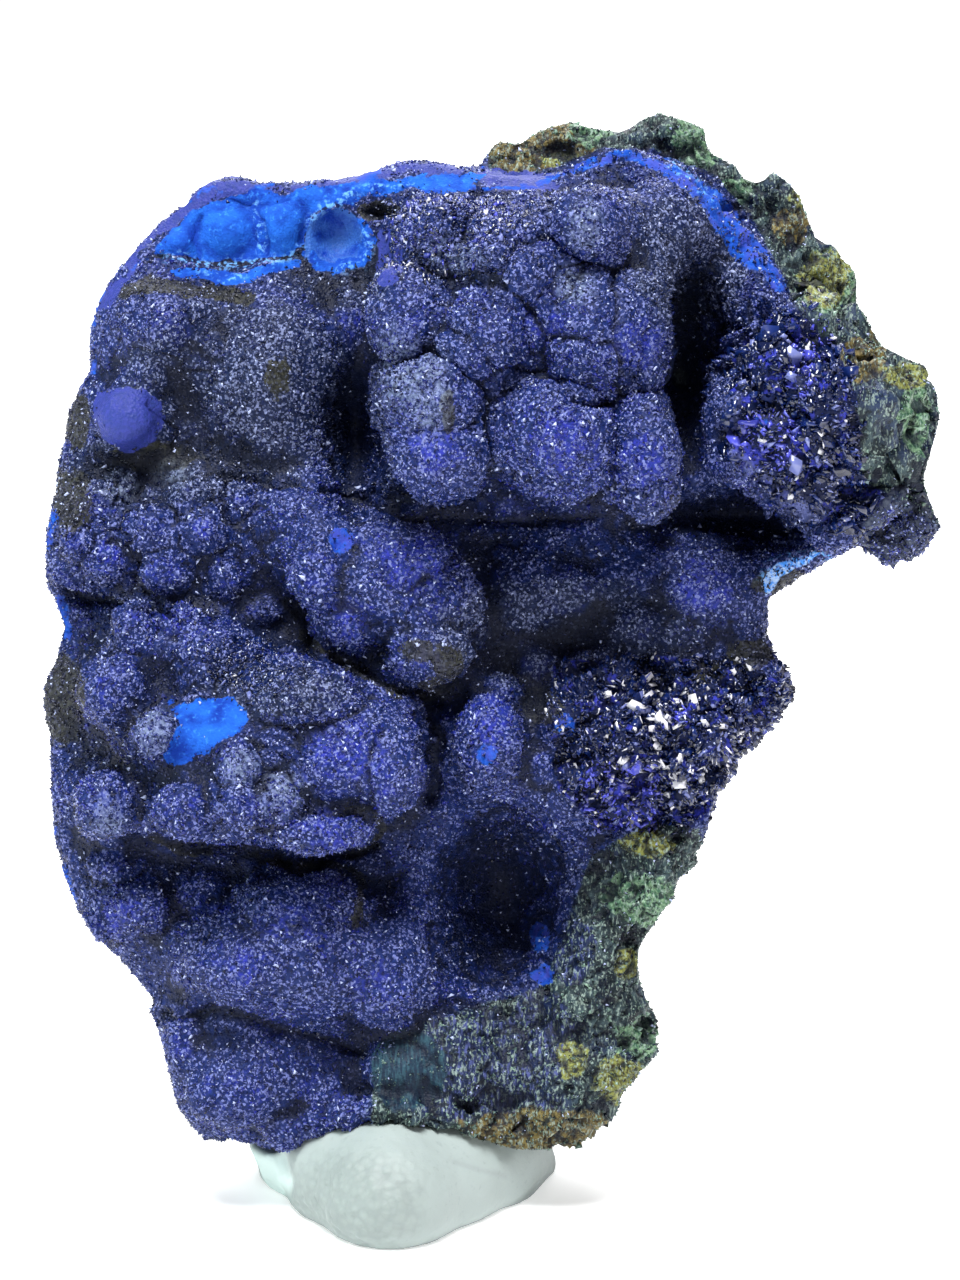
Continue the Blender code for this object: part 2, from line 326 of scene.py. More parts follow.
def patch(spots, outline, edge):
    """1 inside an outline, 0 outside, with an edge this many millimetres soft."""
    gap = gap_to_line(spots, outline + outline[:1])
    return soft_step(np.where(within(spots, outline), gap, -gap), -edge / 2, edge / 2)


def spot(spots, centre, half, edge=0.5):
    """1 inside an ellipse, fading over `edge` as a share of its half size."""
    reach = np.linalg.norm((spots - np.array(centre)) / np.array(half), axis=1)
    return 1.0 - soft_step(reach, 1.0 - edge / 2, 1.0 + edge / 2)


def stroke(spots, line, width):
    """1 on a line and 0 a width away."""
    return 1.0 - soft_step(gap_to_line(spots, line), 0.0, width)


# %% [markdown]
# ## The rough body
#
# The fixed solid is a faceted block-out, cut by planes a millimetre or two across. It is
# copied, never changed. A voxel remesh followed by smoothing turns it into a soft clay body
# with the same lobes and hollows, ready for finer growths.

# %% Clay body from the fixed solid
CLAY_VOXEL = 0.6
CLAY_SMOOTHING = 4


def add_remesh(item, voxel):
    """Fuse everything in an object into one closed skin."""
    skin = item.modifiers.new("fuse", "REMESH")
    skin.mode = "VOXEL"
    skin.voxel_size = voxel * MM


def add_smoothing(item, steps, strength=0.5):
    """Round off small steps."""
    soften = item.modifiers.new("soften", "SMOOTH")
    soften.factor = strength
    soften.iterations = steps


def copy_node(node, name):
    """A free copy of a fixed solid's mesh, with its doubled points merged."""
    source = frame["nodes"][node]
    mesh = bpy.data.meshes.new(name)
    build = bmesh.new()
    build.from_mesh(source.data)
    bmesh.ops.transform(build, matrix=source.matrix_world, verts=build.verts)
    bmesh.ops.remove_doubles(build, verts=build.verts, dist=0.01 * MM)
    build.to_mesh(mesh)
    build.free()
    item = bpy.data.objects.new(name, mesh)
    bpy.context.scene.collection.objects.link(item)
    return item


clay = copy_node("azurite_specimen", "clay_body")
add_remesh(clay, CLAY_VOXEL)
add_smoothing(clay, CLAY_SMOOTHING)
apply_modifiers(clay)
print("clay body:", triangles_in(clay), "triangles")

# %% [markdown]
# ## Growths, placed one by one
#
# Azurite grows as clusters of domes. Each row below is one dome: its note from the sight
# grid, then its half width, its half height and how far it stands out, in millimetres. A ray
# from the viewer's eye finds the clay under it, so each dome sits on what carries it.

# %% The domes of the crust
DOMES = seen_rows([
    # Flat upper left.
    (125, 485, 1.2, 1.2, 0.6), (165, 330, 2.1, 2.1, 0.5), (150, 375, 2.1, 1.8, 0.4),
    (350, 325, 1.7, 3.1, 0.5), (190, 430, 2.1, 1.7, 0.3),
    # Left side.
    (95, 505, 1.9, 1.8, 0.8), (75, 545, 1.4, 1.5, 0.7), (110, 560, 2.1, 1.9, 0.9),
    (150, 530, 1.9, 1.8, 0.8), (205, 530, 1.8, 1.8, 0.8), (165, 570, 1.9, 1.8, 0.8),
    (225, 575, 1.7, 1.7, 0.7), (190, 495, 1.4, 1.2, 0.6), (240, 500, 1.5, 1.2, 0.5),
    (65, 578, 1.0, 1.1, 0.5), (255, 612, 1.9, 1.4, 0.5),
    # Central nodule.
    (318, 575, 2.2, 2.9, 0.9), (345, 622, 3.1, 2.4, 0.9), (400, 560, 4.0, 2.9, 0.6),
    (440, 600, 3.2, 3.2, 0.7), (430, 652, 3.1, 2.6, 0.6), (375, 540, 2.8, 1.4, 0.4),
    # Heap at the lower left.
    (135, 622, 1.8, 1.7, 1.0), (180, 628, 1.9, 1.7, 0.9), (115, 690, 2.6, 2.6, 1.2),
    (155, 735, 1.7, 1.9, 1.1), (105, 805, 2.3, 2.5, 1.3), (185, 812, 2.6, 2.4, 1.1),
    (240, 768, 1.7, 1.8, 0.9), (240, 806, 1.8, 1.8, 0.9), (280, 800, 2.1, 2.4, 1.0),
    (320, 834, 3.5, 1.7, 1.0), (335, 760, 4.7, 3.9, 0.7), (310, 700, 3.5, 2.4, 0.6),
    (388, 770, 2.6, 3.3, 0.8),
    # Below the heap.
    (110, 866, 1.9, 1.2, 0.6), (140, 905, 2.4, 1.9, 0.8), (100, 925, 1.7, 1.4, 0.6),
    (205, 900, 3.3, 2.6, 0.5), (300, 915, 5.6, 3.5, 0.5), (250, 965, 4.6, 2.9, 0.6),
    (380, 990, 3.3, 2.9, 0.4),
    # Bottom.
    (235, 1090, 4.0, 2.9, 0.5), (320, 1092, 2.8, 2.4, 0.5), (182, 1042, 1.4, 2.4, 0.6),
    # Boss: its large masses only, because its cracks are drawn later.
    (408, 328, 2.1, 2.4, 0.6), (430, 405, 2.9, 2.8, 0.6), (433, 450, 3.2, 2.6, 0.8),
    (548, 315, 3.2, 3.1, 0.5), (560, 430, 3.2, 2.9, 0.7), (586, 460, 2.4, 2.1, 0.7),
    (585, 224, 1.9, 1.9, 0.8), (644, 345, 2.1, 3.6, 0.5), (646, 446, 1.9, 3.2, 0.6),
    (652, 492, 1.4, 1.7, 0.7),
    # Smooth floor.
    (510, 512, 2.8, 1.5, 0.5), (700, 596, 3.1, 2.2, 0.4), (560, 592, 3.9, 2.5, 0.3),
    (520, 645, 3.1, 1.8, 0.3), (640, 625, 2.8, 1.8, 0.3),
    # Crystal heap at the lower right.
    (488, 745, 2.6, 3.6, 0.9), (500, 694, 1.9, 1.5, 0.5), (540, 670, 2.2, 1.7, 0.8),
    (565, 725, 1.9, 1.9, 0.7), (542, 764, 1.5, 1.9, 0.5), (592, 662, 1.9, 1.1, 0.5),
    (622, 792, 2.8, 1.8, 0.9), (760, 682, 1.8, 1.9, 0.7), (704, 806, 1.5, 1.9, 0.5),
    # Bare matrix at the lower right.
    (640, 846, 2.6, 1.8, 0.7), (642, 900, 2.5, 2.2, 0.6), (600, 930, 2.2, 2.5, 0.5),
    (632, 962, 1.2, 1.5, 0.6), (580, 1004, 2.6, 2.5, 0.6), (520, 1012, 2.6, 2.2, 0.5),
    (452, 1040, 3.3, 2.2, 0.4), (402, 1068, 2.9, 2.4, 0.4), (602, 1072, 2.6, 2.2, 0.6),
    (562, 1112, 3.3, 1.8, 0.5), (642, 1052, 1.5, 1.5, 0.6), (500, 1100, 2.6, 1.9, 0.4),
    # Right cluster.
    (812, 336, 1.4, 1.0, 1.0), (760, 436, 1.7, 1.4, 0.9), (838, 408, 2.4, 1.8, 0.8),
    (795, 382, 1.8, 1.2, 0.7), (884, 440, 1.8, 1.7, 0.8), (905, 524, 2.1, 2.1, 0.9),
    (848, 498, 1.9, 1.5, 0.8), (800, 468, 1.8, 1.1, 0.6), (770, 340, 1.2, 1.0, 0.5),
    (915, 480, 1.4, 1.4, 0.6), (862, 455, 1.5, 1.4, 0.5), (886, 545, 2.0, 1.5, 0.9),
])

# Smooth blue domes on the floor of the upper left hollow.
HOLLOW_DOMES = seen_rows([(230, 232, 2.2, 2.1, 1.3), (282, 226, 1.7, 2.1, 1.2), (180, 243, 1.4, 1.0, 0.6)])

# The bare, knobbly matrix that looks over the crust's upper right edge.
TOP_KNOBS = seen_rows([
    (499, 153, 0.9, 0.9, 0.5), (522, 159, 0.8, 0.8, 0.5), (542, 146, 1.0, 0.9, 0.6),
    (569, 142, 1.1, 1.0, 0.6), (595, 148, 1.0, 0.9, 0.5), (555, 164, 0.9, 0.7, 0.5),
    (620, 151, 0.9, 0.8, 0.5), (644, 139, 1.1, 1.0, 0.6), (669, 135, 1.4, 1.0, 0.6),
    (693, 143, 1.0, 0.9, 0.5), (699, 162, 0.8, 0.8, 0.5), (728, 179, 0.9, 0.7, 0.5),
    (754, 198, 0.8, 0.7, 0.5), (771, 191, 0.8, 0.8, 0.6), (784, 202, 0.9, 0.9, 0.6),
    (792, 224, 0.8, 0.9, 0.5), (777, 236, 0.8, 0.9, 0.5), (800, 250, 0.8, 0.8, 0.5),
    (823, 260, 0.9, 0.8, 0.7), (839, 279, 0.8, 0.9, 0.7), (816, 276, 0.8, 0.8, 0.6),
    (840, 300, 0.8, 0.7, 0.6), (824, 296, 0.7, 0.7, 0.5), (830, 320, 0.7, 0.7, 0.5),
    (840, 344, 0.9, 0.7, 0.5), (867, 365, 0.9, 0.8, 0.5), (895, 375, 0.9, 0.8, 0.6),
    (916, 392, 0.9, 1.0, 0.6), (918, 418, 0.9, 0.9, 0.6), (896, 405, 0.9, 0.9, 0.5),
    (911, 446, 0.8, 0.8, 0.5), (890, 440, 0.8, 0.8, 0.5), (902, 476, 0.9, 0.8, 0.5),
    (915, 519, 1.2, 1.4, 0.6), (889, 539, 1.2, 1.2, 0.5),
])

# Lumps of the rock's lower edge, which hang over the putty: seen place, size, and depth w.
EDGE_LUMPS = seen_rows([
    (284, 1130, 1.8, 1.6, -1.2), (317, 1120, 1.5, 1.4, -0.9), (347, 1114, 1.4, 1.3, -0.2),
    (379, 1109, 1.4, 1.3, 0.4), (411, 1112, 1.4, 1.3, 0.6), (442, 1119, 1.4, 1.3, 0.1),
    (474, 1127, 1.5, 1.4, -0.6), (506, 1135, 1.5, 1.4, -1.2), (538, 1138, 1.5, 1.3, -1.6),
    (572, 1137, 1.4, 1.1, -1.6),
])
print(len(DOMES), "domes and", len(TOP_KNOBS), "knobs")

# %% [markdown]
# Every dome is the same ball, stretched. All the balls go into one mesh with the clay, and
# one voxel remesh melts them together, which leaves the soft creases that grown domes have.

# %% Grow the domes on the clay
BALL_DETAIL = 3
STAND_OUT = 1.35


def unit_ball():
    """A ball of radius one as points and triangles."""
    build = bmesh.new()
    bmesh.ops.create_icosphere(build, subdivisions=BALL_DETAIL, radius=1.0)
    points = np.array([vertex.co for vertex in build.verts])
    faces = np.array([[vertex.index for vertex in face.verts] for face in build.faces])
    build.free()
    return points, faces


def surface_tree(item):
    """A search tree over an object's surface in the face frame."""
    points = points_of(item)
    faces = [tuple(face.vertices) for face in item.data.polygons]
    return BVHTree.FromPolygons([Vector(point) for point in points], faces)


def sight_ray(place):
    """The direction from the eye to a place on the face plane."""
    return (Vector((place[0], place[1], 0.0)) - EYE).normalized()


def balls_at(rows, name):
    """Stretched balls, each given by its centre and half sizes."""
    ball, ball_faces = unit_ball()
    points = [ball * half + centre for centre, half in rows]
    faces = [ball_faces + number * len(ball) for number in range(len(rows))]
    return object_from(name, np.concatenate(points), np.concatenate(faces))


def grown(tree, rows, name):
    """Balls sunk into the surface where each row is seen."""
    sunk = []
    for u, v, half_u, half_v, proud in rows:
        ray = sight_ray((u, v))
        hit = tree.ray_cast(EYE, ray)[0]
        if hit is None:
            continue
        depth = (half_u + half_v) / 2
        out = min(STAND_OUT * proud, 0.8 * depth)
        sunk.append((np.array(hit + ray * (depth - out)), (half_u, half_v, depth)))
    return balls_at(sunk, name)


def hung(rows, name):
    """Balls seen at a place, at a stated depth."""
    placed = []
    for u, v, half_u, half_v, depth in rows:
        ray = sight_ray((u, v))
        centre = EYE + ray * ((depth - EYE.z) / ray.z)
        placed.append((np.array(centre), (half_u, half_v, (half_u + half_v) / 2)))
    return balls_at(placed, name)


def merge(items, name):
    """Join objects into the first."""
    with bpy.context.temp_override(active_object=items[0], selected_editable_objects=items):
        bpy.ops.object.join()
    items[0].name = name
    return items[0]


clay_tree = surface_tree(clay)
domes = grown(clay_tree, DOMES + HOLLOW_DOMES + TOP_KNOBS, "domes")
rock = merge([clay, domes, hung(EDGE_LUMPS, "edge_lumps")], "rock_body")
print("rock before fusing:", triangles_in(rock), "triangles")

# %% [markdown]
# ## Front and back
#
# The front needs points a quarter of a millimetre apart, and the plain back does not. The
# rock is cut by a plane behind the face, and each side is remeshed at its own size. Both
# sides overlap a little inside, and both get the same relief, so that the seam stays closed.

# %% Cut and remesh
FRONT_CUT = -12.4
BACK_CUT = -11.4
FRONT_VOXEL = 0.23
BACK_VOXEL = 0.45
FRONT_TRIANGLES = 196000
BACK_TRIANGLES = 36000
FUSE_VOXEL = 0.32


def cut_half(item, name, cut, keep_front):
    """The closed part of a body in front of or behind w = cut."""
    build = bmesh.new()
    build.from_mesh(item.data)
    normal = Vector(FACE_AXES[2] if keep_front else -FACE_AXES[2])
    place = Vector(to_world(np.array([[0.0, 0.0, cut]]))[0])
    everything = build.verts[:] + build.edges[:] + build.faces[:]
    bmesh.ops.bisect_plane(build, geom=everything, plane_co=place, plane_no=normal, clear_inner=True)
    rim = [edge for edge in build.edges if edge.is_boundary]
    bmesh.ops.triangle_fill(build, edges=rim, use_beauty=True)
    bmesh.ops.recalc_face_normals(build, faces=build.faces)
    mesh = bpy.data.meshes.new(name)
    build.to_mesh(mesh)
    build.free()
    half = bpy.data.objects.new(name, mesh)
    bpy.context.scene.collection.objects.link(half)
    return half


def thinned(item, most):
    """The same shape in fewer triangles, which stay dense where it bends."""
    thin = item.modifiers.new("thin", "DECIMATE")
    thin.ratio = min(1.0, most / triangles_in(item))
    apply_modifiers(item)
    return item


fused = rock.copy()
fused.data = rock.data.copy()
bpy.context.scene.collection.objects.link(fused)
add_remesh(fused, FUSE_VOXEL)
apply_modifiers(fused)
front = cut_half(fused, "azurite_crust", FRONT_CUT, True)
add_remesh(front, FRONT_VOXEL)
add_smoothing(front, 1)
apply_modifiers(front)
back = cut_half(fused, "matrix_back", BACK_CUT, False)
add_remesh(back, BACK_VOXEL)
add_smoothing(back, 1)
apply_modifiers(back)
for spent in (rock, fused):
    bpy.data.objects.remove(spent, do_unlink=True)
print("front", triangles_in(front), "back", triangles_in(back), "triangles")

# %% [markdown]
# ## Where each mineral lies
#
# Next come the drawings: the bare azure-blue hollows and rims, the rubbed violet cap, the
# olive iron stain in the creases, frosty pale druse, and bare green and brown matrix. Each
# list is a patch edge or a line in notes from the sight grid. Sizes are in millimetres.

# %% Patches of bare azure blue
AZURE_PATCHES = {
    "upper hollow": seen(
        (148, 254), (168, 232), (188, 212), (215, 200), (255, 192), (290, 198), (310, 188), (345, 184),
        (380, 180), (420, 176), (470, 171), (488, 176), (470, 188), (440, 197), (410, 190), (385, 196),
        (362, 197), (346, 206), (330, 203), (306, 212), (304, 246), (286, 257), (240, 264), (200, 260),
        (166, 257),
    ),
    "lower lip": seen(
        (160, 270), (200, 270), (245, 270), (304, 258), (300, 268), (268, 277), (240, 282), (228, 286),
        (190, 281),
    ),
    "bowl wall": seen(
        (300, 250), (312, 268), (336, 276), (366, 268), (376, 240), (360, 214), (350, 206), (364, 234),
        (360, 256), (334, 264), (314, 258),
    ),
    "heap patch": seen(
        (170, 701), (185, 709), (208, 698), (228, 698), (245, 709), (250, 721), (235, 735),
        (215, 742), (196, 758), (180, 765), (165, 760), (166, 744), (178, 729), (176, 713),
    ),
}
GREY_BOWL = seen((306, 216), (330, 204), (352, 212), (370, 236), (364, 262), (332, 272), (304, 262))
# Creases between the hollow's domes, pressed in and given painted shade.
HOLLOW_CREASES = [seen((200, 214), (194, 236), (200, 256)), seen((256, 200), (262, 225), (268, 256)),
                  seen((152, 256), (205, 262), (245, 266), (300, 254)),
                  seen((300, 200), (304, 225), (302, 246)), seen((230, 198), (262, 206), (292, 200))]
# Pale frothy rims: round the bowl, under the hollow, and along the top.
FROTH_LINES = [
    seen((306, 222), (314, 210), (330, 204), (346, 200)),
    seen((364, 232), (369, 250), (362, 266), (336, 272)),
    seen((165, 258), (205, 264), (240, 266), (285, 260), (302, 248)),
    seen((202, 274), (226, 278), (246, 272)), seen((320, 204), (345, 196), (366, 190), (410, 186)),
    seen((761, 580), (772, 562), (801, 555), (828, 559)), seen((668, 160), (700, 184), (716, 210)),
    seen((256, 204), (258, 232), (262, 252)),
]
TOP_VIOLET = seen(
    (95, 306), (125, 262), (160, 222), (190, 200), (205, 180), (222, 174), (262, 186), (300, 186),
    (345, 177), (410, 163), (480, 169), (556, 174), (560, 190), (500, 192), (470, 176), (410, 176),
    (345, 184), (300, 194), (255, 192), (215, 200), (190, 212), (165, 236), (130, 275), (108, 312),
)
# The broken edge of the crust at the upper right: place, and half width of the blue band.
BLUE_EDGE = seen_rows([(470, 190, 0.2), (520, 188, 0.25), (545, 180, 0.35), (570, 174, 0.45),
                       (600, 160, 0.5), (625, 156, 0.55), (660, 166, 0.6), (690, 182, 0.75),
                       (712, 206, 1.0), (735, 235, 1.3), (758, 260, 1.0), (780, 286, 0.6)])
AZURE_SPOTS = seen_spots([
    (341, 541, 0.9, 0.95, 0.3), (487, 755, 0.75, 0.75, 0.8), (565, 725, 0.8, 0.9, 0.8),
    (540, 938, 0.8, 1.2, 0.6), (543, 975, 0.8, 0.8, 0.6), (755, 424, 0.9, 0.6, 0.9),
])
# The pale chip on the notch at the right, between two shadows.
NOTCH_CHIP = seen((761, 592), (770, 568), (790, 558), (822, 557), (800, 566), (782, 574), (770, 592))
CHIP_LINES = [
    seen((92, 372), (94, 340), (97, 302), (122, 280), (146, 256)), seen((345, 182), (420, 170), (485, 169)),
    seen((190, 205), (206, 190), (262, 188), (300, 188), (340, 184)),
]
EDGE_SLIVERS = [
    seen((54, 515), (48, 547)), seen((60, 600), (68, 636)), seen((45, 800), (51, 832)),
    seen((60, 866), (74, 912)),
]
print(len(AZURE_PATCHES) + len(AZURE_SPOTS), "bare blue places")

# %% Violet, olive, frost and matrix places
VIOLET_CAP = seen((96, 392), (125, 386), (162, 398), (164, 425), (148, 445), (125, 454), (105, 440),
    (92, 415))
CROWN_POWDER = seen((376, 287), (376, 228), (399, 225), (404, 267), (395, 287))
VIOLET_GLOWS = seen_rows([
    (700, 590, 2.6), (640, 345, 2.6), (640, 462, 2.6), (110, 550, 1.4), (205, 530, 1.3), (540, 670, 1.8),
    (490, 715, 2.2), (800, 470, 3.0), (810, 335, 1.6), (442, 657, 0.6), (170, 325, 1.8), (343, 750, 3.4),
    (111, 800, 1.6), (120, 915, 1.8), (437, 447, 2.6), (566, 440, 3.0), (330, 835, 2.2), (415, 570, 3.2),
    (350, 621, 2.2),
])
OLIVE_SPOTS = seen_spots([
    (278, 378, 0.8, 1.4, 1.8), (379, 211, 1.6, 0.7, 0.5), (418, 650, 1.3, 0.7, 1.6),
    (448, 664, 1.2, 1.3, 1.6), (434, 690, 1.1, 0.8, 1.6), (64, 699, 1.4, 3.4, 0.8),
    (77, 420, 0.9, 1.9, 0.8), (155, 456, 3.0, 1.1, 0.9), (542, 705, 1.6, 1.3, 1.0),
    (707, 672, 1.3, 0.8, 1.0), (748, 655, 1.6, 1.2, 0.9), (448, 411, 0.5, 1.4, 1.2),
    (71, 498, 1.4, 2.2, 1.0), (788, 583, 2.6, 0.9, 0.6),
])
OLIVE_LINES = [
    (seen((125, 292), (150, 284), (200, 290), (250, 300)), 1.0),
    (seen((345, 812), (370, 808), (382, 830), (370, 850), (345, 858)), 0.45),
    (seen((352, 870), (362, 880), (356, 925)), 0.6),
    (seen((150, 838), (190, 853), (230, 853), (300, 868), (350, 865)), 0.5),
    (seen((286, 600), (306, 640), (346, 664), (400, 696)), 0.6),
]
FROST_SPOTS = seen_spots([
    (430, 392, 1.4, 2.8), (585, 225, 1.1, 1.6), (297, 790, 0.6, 0.6), (240, 767, 1.2, 1.2),
    (155, 731, 1.3, 1.5), (124, 488, 1.3, 1.3), (280, 791, 1.6, 1.6), (575, 284, 1.2, 1.2),
    (454, 261, 1.8, 1.6), (399, 368, 1.4, 2.6), (170, 475, 1.5, 0.8), (108, 814, 1.2, 1.4),
])
LOWER_MATRIX = seen(
    (590, 860), (650, 820), (700, 830), (715, 870), (679, 909), (654, 960), (684, 1040), (654, 1114),
    (579, 1174), (440, 1153), (370, 1138), (375, 1060), (430, 1020), (500, 1000), (540, 990), (560, 940),
)
TOP_MATRIX = seen(
    (484, 112), (595, 66), (715, 66), (839, 138), (912, 286), (970, 341), (983, 495), (938, 526),
    (905, 505), (864, 480), (858, 400), (836, 345), (800, 313), (785, 280), (752, 216), (714, 176),
    (654, 149), (604, 148), (540, 172), (490, 174),
)
RIGHT_BOULDER = seen((860, 526), (898, 483), (935, 483), (970, 541), (912, 598), (860, 564))
BROWN_KNOBS = seen_spots([
    (540, 146, 4.0, 2.2), (789, 227, 1.3, 1.3), (540, 1132, 5.6, 1.6), (862, 359, 1.8, 1.6),
    (760, 655, 1.6, 1.3),
])
# Mint and pale green malachite, and the mustard and yellow-green crusts on it.
GREEN_PLACES = seen_spots([
    (733, 192, 1.4, 1.1), (828, 282, 2.2, 2.0), (916, 420, 1.0, 2.6), (640, 900, 2.4, 1.6),
    (640, 1040, 1.6, 1.4), (696, 140, 1.8, 2.0), (589, 126, 1.4, 1.4),
])
MUSTARD_PLACES = seen_spots([
    (648, 843, 1.9, 1.1), (628, 964, 0.9, 1.1), (574, 1060, 1.1, 1.3), (620, 1080, 1.8, 1.6),
    (822, 281, 1.7, 1.8), (845, 258, 0.9, 0.9), (905, 375, 1.6, 0.9), (800, 196, 0.9, 0.7),
    (560, 160, 1.6, 0.6),
])
DULL_PLACES = seen_spots([
    (242, 390, 8.0, 6.5), (163, 469, 7.0, 2.5), (566, 634, 9.0, 4.0), (689, 260, 4.0, 4.5),
    (336, 267, 4.5, 3.0), (278, 692, 5.0, 1.8),
])
NIGHT_PLACES = seen_spots([
    (465, 1062, 5.2, 4.0), (540, 1036, 2.4, 3.4), (572, 950, 1.6, 2.4), (520, 1104, 3.0, 1.4),
])
TEAL_PLACE = seen_spots([(408, 1070, 2.6, 2.8)])[0]
print("violet", len(VIOLET_GLOWS), "olive", len(OLIVE_SPOTS), "frost", len(FROST_SPOTS))

# %% [markdown]
# ## Relief
#
# The crust is knobbly in some places and smooth in others. `relief` adds up how far each
# point moves along its normal: grooves between neighbouring domes, small buds, broken blocks
# on the outer edge, cracks pushed in, and thin raised rims round the blue hollows. Each lobe of
# the boss is drawn by its edge and gets round shoulders, so cracks appear where lobes meet.
# Deep pits are pushed straight in first, and at the end nothing may stand outside the outline.

# %% The lobes of the boss, and the rock's outline, as seen
BOSS_LOBES = {
    "upper left": seen_close(
        (25, 330), (60, 290), (130, 300), (200, 320), (232, 370), (225, 430), (190, 490),
        (150, 530), (90, 540), (40, 510), (15, 450), (15, 380),
    ),
    "upper middle": seen_close(
        (250, 440), (290, 370), (350, 345), (420, 350), (480, 400), (530, 470), (545, 530),
        (500, 575), (440, 560), (375, 545), (320, 480),
    ),
    "small middle": seen_close(
        (215, 500), (260, 480), (320, 490), (350, 530), (350, 580), (300, 590), (240, 560),
    ),
    "left column": seen_close(
        (110, 550), (210, 570), (290, 600), (330, 640), (345, 720), (352, 820), (345, 890),
        (310, 945), (230, 965), (150, 940), (100, 880), (80, 780), (30, 700), (20, 640), (40, 580),
    ),
    "lower middle": seen_close(
        (365, 580), (440, 575), (510, 600), (560, 650), (615, 710), (720, 715), (742, 760),
        (745, 830), (720, 900), (660, 940), (580, 950), (520, 920), (500, 880), (430, 850),
        (375, 830), (355, 760), (352, 660),
    ),
    "right middle": seen_close(
        (560, 490), (640, 482), (720, 492), (742, 560), (742, 650), (715, 688), (650, 688),
        (612, 650), (572, 600), (555, 540),
    ),
    "upper right": seen_close(
        (470, 215), (560, 200), (640, 240), (700, 290), (738, 350), (742, 430), (720, 478),
        (640, 472), (565, 478), (540, 465), (500, 400), (450, 345), (430, 290), (440, 240),
    ),
    "pale dome": seen_close(
        (575, 80), (640, 50), (710, 55), (750, 120), (765, 200), (740, 250), (690, 260),
        (640, 225), (580, 190), (560, 130),
    ),
    "upper finger": seen_close(
        (755, 290), (830, 300), (880, 380), (895, 480), (880, 570), (860, 640), (800, 655),
        (752, 640), (750, 560), (752, 440),
    ),
    "lower finger": seen_close(
        (750, 680), (820, 662), (880, 680), (912, 760), (920, 860), (915, 950), (880, 1040),
        (830, 1045), (765, 980), (742, 900), (742, 800),
    ),
    "left crown": seen_close(
        (180, 110), (240, 80), (300, 110), (300, 200), (280, 270), (220, 280), (170, 230),
        (160, 160),
    ),
    "right crown": seen_close(
        (320, 90), (420, 80), (500, 60), (560, 110), (560, 180), (470, 200), (420, 250),
        (340, 260), (310, 200),
    ),
}
BOSS_MIDDLE = seen((523, 361))[0]
BOSS_REACH = (10.5, 12.5)
ROCK_OUTLINE = seen(
    (220, 172), (262, 183), (300, 183), (345, 175), (375, 168), (410, 160), (445, 163), (480, 167),
    (487, 155), (497, 140), (518, 145), (542, 129), (570, 122), (597, 129), (632, 133), (638, 121),
    (659, 113), (687, 121), (704, 128), (709, 152), (735, 165), (745, 181), (759, 183), (773, 172),
    (787, 181), (800, 196), (809, 221), (819, 245), (831, 243), (845, 255), (857, 276), (857, 303),
    (843, 314), (845, 329), (857, 334), (859, 351), (881, 345), (904, 357), (924, 365), (936, 382),
    (940, 417), (931, 455), (921, 465), (923, 479), (928, 496), (941, 527), (924, 551), (904, 570),
    (883, 565), (866, 551), (862, 544), (824, 563), (800, 577), (767, 599), (769, 630), (772, 653),
    (793, 679), (789, 698), (772, 725), (762, 739), (738, 753), (731, 774), (715, 794), (707, 829),
    (696, 867), (677, 880), (674, 899), (663, 911), (638, 949), (638, 973), (648, 1004),
    (667, 1032), (663, 1049), (641, 1073), (622, 1094), (618, 1110), (605, 1136), (576, 1150),
    (512, 1150), (445, 1130), (403, 1126), (336, 1138), (281, 1156), (239, 1145), (201, 1140),
    (178, 1106), (163, 1043), (150, 1011), (155, 1001), (127, 966), (100, 946), (81, 915),
    (64, 877), (53, 835), (52, 801), (50, 732), (36, 701), (57, 660), (65, 629), (55, 599),
    (45, 582), (46, 534), (55, 496), (60, 462), (65, 431), (71, 403), (90, 372), (90, 334),
    (96, 298), (155, 226), (188, 203), (198, 184),
)
print(len(BOSS_LOBES), "lobes;", len(ROCK_OUTLINE), "points round the outline")

# %% Cracks, pits and rough places
CRACKS = [
    (seen((575, 404), (590, 410), (605, 404)), 0.5, 1.6),
    (seen((60, 598), (110, 604), (170, 612)), 0.5, 1.5),
    (seen((290, 600), (310, 640), (350, 660), (400, 690), (440, 700)), 0.5, 1.2),
    (seen((430, 700), (437, 740), (432, 800)), 0.7, 1.4),
    (seen((220, 475), (330, 490), (420, 518)), 0.4, 0.6),
    (seen((150, 835), (190, 850), (230, 850), (300, 865), (375, 850)), 0.6, 1.3),
    (seen((160, 1015), (230, 1012), (300, 1035), (360, 1052)), 0.6, 0.7),
    (seen((226, 480), (224, 500), (228, 518)), 0.4, 0.8),
    (seen((848, 430), (866, 438), (882, 434)), 0.5, 1.4), (seen((885, 476), (925, 486)), 0.6, 1.6),
    (seen((800, 354), (820, 357)), 0.4, 1.0), (seen((722, 205), (748, 216)), 0.4, 1.2),
    (seen((766, 326), (744, 360), (729, 400), (727, 444), (755, 476), (786, 502), (826, 530), (858, 554)),
    0.7, 1.5), (seen((150, 400), (176, 430), (170, 455)), 0.35, 0.5),
]
# Each pit: centre, half size, and how much deeper than the fixed solid's own hollow.
PITS = seen_spots([
    (356, 420, 1.9, 5.4, 2.6), (388, 499, 3.4, 1.0, 1.6), (680, 368, 2.2, 6.2, 2.0),
    (677, 351, 1.1, 1.7, 1.5), (733, 512, 7.5, 1.9, 2.2), (510, 907, 4.6, 6.0, 1.8),
    (523, 518, 6.0, 0.9, 1.0), (381, 211, 1.5, 0.7, 1.2), (337, 238, 2.1, 2.1, 1.3),
    (852, 326, 0.9, 0.6, 1.0), (921, 483, 0.9, 0.7, 1.2), (803, 313, 0.5, 1.3, 1.1),
    (735, 206, 0.9, 0.4, 0.8), (650, 1028, 1.2, 1.3, 1.2),
])
